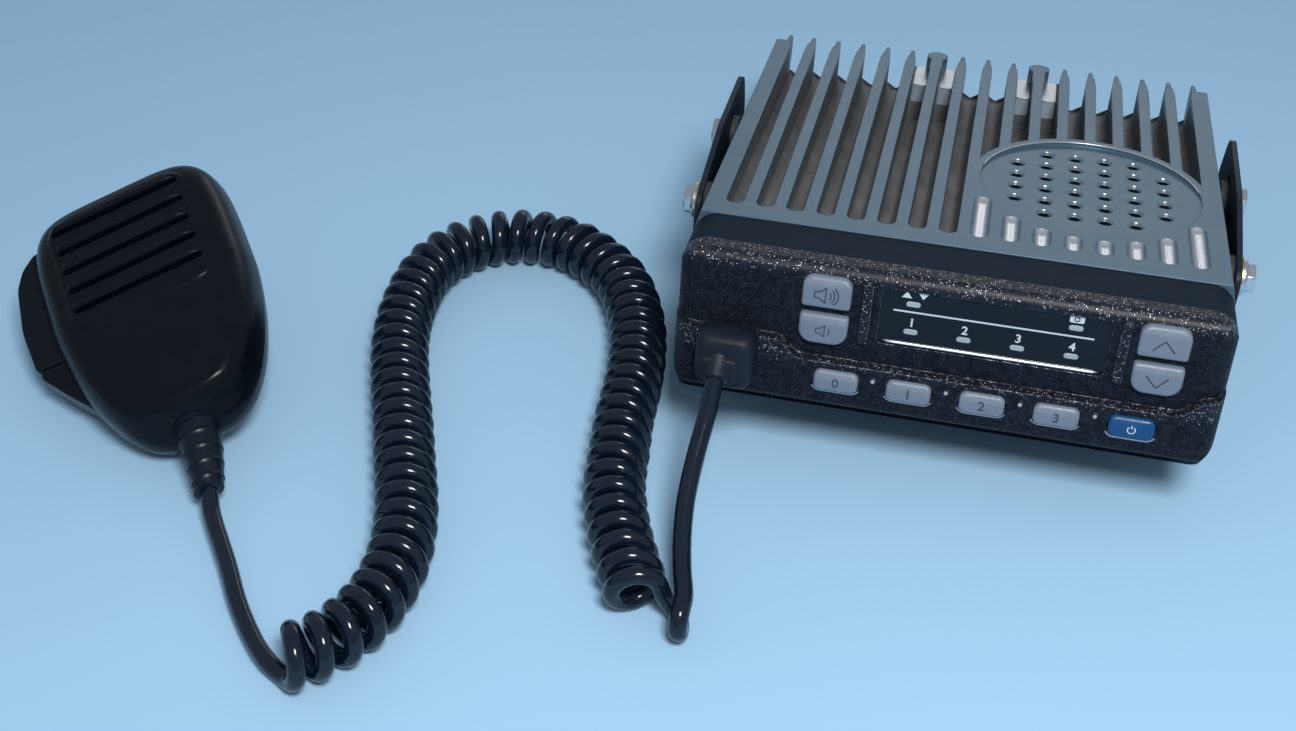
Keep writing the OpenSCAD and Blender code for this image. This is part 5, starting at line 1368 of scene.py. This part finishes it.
def mic_power(v):
    """Power of the outline's squarish oval: squarer above the middle."""
    return np.where(v > 0, 5.5, 3.6)


def mic_half_width(v):
    """Half width of the outline at height v: a squarish oval that narrows towards the cord."""
    p = mic_power(v)
    return MIC_HALF_W * mic_narrow(v) * np.clip(1 - np.abs(v / MIC_HALF_H) ** p, 0, None) ** (1 / p)


def mic_inset(u, v):
    """How far inside the outline a point lies: the inset whose own outline passes through it, by halving."""
    lo, hi = np.zeros_like(u), np.full_like(u, MIC_HALF_W - 0.1)
    p, k = mic_power(v), mic_narrow(v)
    for _ in range(40):
        d = (lo + hi) / 2
        outside = np.abs(v / (MIC_HALF_H - d)) ** p + np.abs(u / ((MIC_HALF_W - d) * k)) ** p > 1
        hi, lo = np.where(outside, d, hi), np.where(outside, lo, d)
    return lo


def mic_grid(rows):
    """Grid of u and v over the outline: level rows, and columns that are straight in the middle.

    The outer columns follow the edge. They stand close together there and at the ends of the slots.
    """
    ends = np.array([-5.0, -3.6, -2.4, -1.4, -1.0, -0.7, -0.45, -0.25, -0.1, 0.0, 0.1, 0.3, 0.8, 1.4, 1.9,
                     2.4])
    inner = np.concatenate([np.linspace(0, SLOT_HALF - 6.0, 8), SLOT_HALF + ends])
    wide = np.maximum(mic_half_width(rows)[:, None], 1e-6)
    mid = inner[None] * np.minimum(1.0, wide / 28.0)
    rim = wide - MIC_RIM[::-1][None] * np.minimum(1.0, (wide - mid[:, -1:]) / 7.5)
    right = np.concatenate([mid, rim], 1)
    u = np.concatenate([-right[:, :0:-1], right], 1)
    return u, np.repeat(rows[:, None], u.shape[1], 1)


def mic_rows(fine):
    """Heights of the grid's rows, close together at both ends and where fine asks for it."""
    end = MIC_HALF_H - MIC_RIM
    return np.unique(np.round(np.concatenate([-end, end, np.linspace(-39, 39, 60), fine]), 3))


def stepped(a, lo, hi):
    """Smooth step of a from lo to hi."""
    t = np.clip((a - lo) / (hi - lo), 0, 1)
    return t * t * (3 - 2 * t)


def pocket_cut(u, v, w, deep, floor):
    """Opens the talk key's pocket in the left side: where deep holds, the shell ends at the pocket's wall."""
    left = (v > POCKET_ENDS[:2].mean()) & (v < POCKET_ENDS[2:].mean()) & (u < 0) & deep
    w = np.where(left & (np.arange(u.shape[1]) > 0), floor, w)
    return np.stack([np.where(left, POCKET, u), v, w], -1)


def raised_field(u, v):
    """Distance inside the edge of the raised field, a rectangle with round corners; negative outside it."""
    qx = np.abs(u) - (RAISED_HALF_W - RAISED_CORNER)
    qy = np.abs(v - RAISED_MIDDLE) - (RAISED_HALF_H - RAISED_CORNER)
    beyond = np.hypot(np.maximum(qx, 0), np.maximum(qy, 0))
    return RAISED_CORNER - beyond - np.minimum(np.maximum(qx, qy), 0)


def mic_front_surface():
    """Front shell: height over the outline from the inset, with a raised field, slots and a rib over each.

    The face ends above the cord in a soft step. The ribs fade out at their right ends.
    """
    offs = np.array([-1.3, -1.05, -0.97, -0.87, -0.6, 0, 0.6, 0.87, 0.97, 1.05, 1.2, 1.4, 1.6, 1.8, 2.1, 2.4,
                     2.7, 3.0, 3.2, 3.36])
    low_edge = RAISED_MIDDLE - RAISED_HALF_H + np.array([-0.6, -0.2, 0.1, 0.4, 0.7, 1.0, 1.3, 1.7])
    step = -np.linspace(36.5, 44.5, 24)
    rows = mic_rows(np.concatenate([(MIC_SLOTS[:, None] + offs).ravel(), low_edge, step, POCKET_ENDS]))
    u, v = mic_grid(rows)
    w = np.interp(mic_inset(u, v), MIC_FRONT[:, 0], MIC_FRONT[:, 1])
    drop, bow, drop_from, drop_to = 3.4, 0.006, 37.5, 43.5
    w = w - drop * stepped(-v + bow * u * u, drop_from, drop_to) * stepped(w, -12.5, -3)
    w = w + RAISED_HEIGHT * stepped(raised_field(u, v), -0.3, 1.4) * stepped(w, -2.0, -0.5)
    near = MIC_SLOTS[np.abs(v[..., None] - MIC_SLOTS).argmin(-1)]
    past_slot = np.hypot(np.maximum(np.abs(u) - SLOT_HALF + SLOT_ROUND, 0), v - near) - SLOT_ROUND
    along_rib = stepped(u, -20.5, -18.5) * (1 - stepped(u, 16.0, 22.0))
    rib = RIB_HEIGHT * along_rib * np.clip(1 - ((v - near - RIB_OFFSET) / RIB_HALF) ** 2, 0, 1)
    w = w + rib - SLOT_DEPTH * stepped(-past_slot, -0.06, 0.1)
    floor = TALK_HIGH + POCKET_SPARE
    return pocket_cut(u, v, w, w < floor, floor)


def mic_rear_surface():
    """Rear shell: depth over the outline from the inset, thinner towards the cord."""
    u, v = mic_grid(mic_rows(POCKET_ENDS))
    w = np.interp(mic_inset(u, v), MIC_REAR[:, 0], MIC_REAR[:, 1])
    thinner = 0.36 * np.clip((24 - v) / (MIC_HALF_H + 24), 0, 1)
    w = MIC_PARTING + (w - MIC_PARTING) * (1 - thinner)
    floor = TALK_LOW - POCKET_SPARE
    return pocket_cut(u, v, w, w > floor, floor)


def rounded_bar(corners, radii, lo, hi, edge, n=140):
    """Bar from depth lo to hi over a rounded outline, its two rims rounded by edge."""
    loop = resample(rounded_outline(corners, radii), n)
    t = np.linspace(0, np.pi / 2, 7)
    flat = edge + 0.4
    levels = [(flat, lo)] + [(edge * (1 - np.sin(a)), lo + edge * (1 - np.cos(a))) for a in t]
    levels += [(edge * (1 - np.cos(a)), hi - edge * (1 - np.sin(a))) for a in t] + [(flat, hi)]
    return on_mic(np.stack([level(loop, d, w) for d, w in levels])), capped_rings(len(levels), n)


def shell(p):
    """Closed shell: the surface's grid and a flat cap over its rim."""
    n, m = p.shape[:2]
    rim = [*range(0, n * m, m), *range(n * m - 1, 0, -m)]
    return on_mic(p), [*grid_faces(n, m), rim]


def talk_key_fairing():
    """Fairing of the rear shell below the talk key: a bar with rounded rims that slopes in to the shell."""
    corners = [(-20, -2.5), (-39.4, -2.5), (-38.2, -5.5), (-32.6, -14.2), (-26.4, -22.8), (-20, -24)]
    return rounded_bar(corners, [1.6, 1.6, 3, 30, 3, 1.6], TALK_LOW, TALK_HIGH, 1.1)


def strain_relief():
    """Ringed strain relief: a tapering profile with four soft rings, turned about a line that leans a little.

    A ring adds height * exp(-(distance / width)^2). The lean grows with the power 1.5 of the distance along.
    """
    collar = [(-6.2, 0), (-6.1, 2.6), (-5.6, 4.3), (-4.6, 5.7), (-3.0, 6.6), (-1.0, 7.0), (0.6, 7.0)]
    root, taper, ring_height, ring_width, ring_step = 6.5, 2.2, 0.28, 0.55, 4.6
    along = np.linspace(0.6, RELIEF_LENGTH, 90)
    rings = sum(ring_height * np.exp(-((along - ring_step * k) / ring_width) ** 2) for k in range(1, 5))
    end = RELIEF_LENGTH + 0.3
    stem = zip(along, root - taper * along / RELIEF_LENGTH + rings)
    p = revolve([*collar, *stem, (end, 3.6), (end, 0)], 40)
    lean = RELIEF_LEAN * np.clip(p[..., 0] / RELIEF_LENGTH, 0, None) ** 1.5
    return sweep(on_mic(np.stack([p[..., 1] - lean, RELIEF_ROOT - p[..., 0], RELIEF_DEPTH + p[..., 2]], -1)))


class TRANSCEIVER_OT_microphone(bpy.types.Operator):
    """Microphone shells with slots and a raised field, ringed strain relief, hanger button"""

    bl_idname = "transceiver.microphone"
    bl_label = "Microphone"

    def execute(self, context):
        f = context.scene.transceiver_finishes
        satin = shaped_finish("satin_moulding", f.mic, 0.27, grain=2600, depth=0.005, vary=0.15,
                              rough_vary=0.06, spec=0.18)
        make_piece("mic_face", shell(mic_front_surface()), satin, replaces=("mic_front_shell",),
                   sharp=35)
        make_piece("mic_back", join(shell(mic_rear_surface()), talk_key_fairing()), satin,
                   replaces=("mic_rear_shell",), sharp=35)
        rubber = shaped_finish("relief_rubber", shade(f.rubber, 0.8), 0.35, grain=1500, depth=0.01, spec=0.25)
        make_piece("strain_relief_ribs", strain_relief(), rubber,
                   replaces=("mic_strain_relief",), sharp=50)
        dress(finish("hanger_plate", f.steel, 0.25, metal=1.0, grain=4000, depth=0.003, edge=0.2),
              "hanger_button", "ptt_pin")
        dress(finish("capsule_can", (0.5, 0.5, 0.5), 0.35, metal=1.0), "mic_capsule")
        return {"FINISHED"}


class TRANSCEIVER_OT_talk_key(bpy.types.Operator):
    """Push-to-talk key: a bar with a bowed outline and rounded rims"""

    bl_idname = "transceiver.talk_key"
    bl_label = "Talk key"

    def execute(self, context):
        f = context.scene.transceiver_finishes
        back = POCKET - 2.4
        corners = [(back, 40), (-31, 40), (-35.6, 36), (-38.6, 30), (-40.6, 14), (-39.6, -1.6), (-31.2, -2.2),
                   (-30.4, -8), (back, -8)]
        bar = rounded_bar(corners, [1.5, 2.5, 8, 12, 30, 1.6, 0.6, 1.5, 1.5], TALK_LOW, TALK_HIGH, 1.0, 180)
        rubber = shaped_finish("talk_key_rubber", shade(f.mic, 1.3), 0.5, grain=2000, depth=0.015, spec=0.16)
        make_piece("talk_key_bar", bar, rubber, body="talk_key", replaces=("ptt_key",))
        return {"FINISHED"}


class TRANSCEIVER_OT_inner_parts(bpy.types.Operator):
    """Finishes of the parts inside the cases"""

    bl_idname = "transceiver.inner_parts"
    bl_label = "Inner parts"

    def execute(self, context):
        dress(board_finish(), "main_board", "front_board", "mic_board")
        dress(finish("mat_silicone", (0.16, 0.17, 0.18), 0.6), "keypad_mat")
        dress(finish("amplifier_plate", (0.55, 0.55, 0.54), 0.35, metal=1.0), "power_module")
        dress(finish("tinned_can", (0.6, 0.6, 0.6), 0.3, metal=1.0), "shield_can")
        dress(finish("speaker_steel", (0.2, 0.2, 0.21), 0.4, metal=0.8), "speaker_frame")
        dress(finish("cone_paper", (0.012, 0.012, 0.013), 0.8), "speaker_cone")
        dress(finish("magnet_ferrite", (0.05, 0.05, 0.055), 0.6), "speaker_magnet")
        dress(finish("switch_case", (0.02, 0.02, 0.022), 0.45), "ptt_switch")
        return {"FINISHED"}


# panel and registration

OPERATORS = (
    TRANSCEIVER_OT_stage, TRANSCEIVER_OT_curly_cord, TRANSCEIVER_OT_chassis, TRANSCEIVER_OT_front_unit,
    TRANSCEIVER_OT_keys, TRANSCEIVER_OT_plug_boot, TRANSCEIVER_OT_bracket, TRANSCEIVER_OT_rear_sockets,
    TRANSCEIVER_OT_microphone, TRANSCEIVER_OT_talk_key, TRANSCEIVER_OT_inner_parts,
)


class TRANSCEIVER_PT_looks(bpy.types.Panel):
    """Lists the pieces in the order in which they are made"""

    bl_idname = "TRANSCEIVER_PT_looks"
    bl_label = "Mobile transceiver"
    bl_space_type = "VIEW_3D"
    bl_region_type = "UI"
    bl_category = "Transceiver"

    def draw(self, context):
        for op in OPERATORS:
            self.layout.operator(op.bl_idname, text=op.bl_label)


CLASSES = (TransceiverFinishes, TransceiverCord, TransceiverStage, *OPERATORS, TRANSCEIVER_PT_looks)


def register():
    for c in CLASSES:
        bpy.utils.register_class(c)
    bpy.types.Scene.transceiver_finishes = PointerProperty(type=TransceiverFinishes)
    bpy.types.Scene.transceiver_cord = PointerProperty(type=TransceiverCord)
    bpy.types.Scene.transceiver_stage = PointerProperty(type=TransceiverStage)


def unregister():
    for name in ("transceiver_finishes", "transceiver_cord", "transceiver_stage"):
        delattr(bpy.types.Scene, name)
    for c in reversed(CLASSES):
        bpy.utils.unregister_class(c)


def main():
    """Registers the classes and runs the operators in order."""
    register()
    ops = bpy.ops.transceiver
    ops.stage()
    ops.curly_cord()
    ops.chassis()
    ops.front_unit()
    ops.keys()
    ops.plug_boot()
    ops.bracket()
    ops.rear_sockets()
    ops.microphone()
    ops.talk_key()
    ops.inner_parts()


if __name__ == "__main__":
    main()
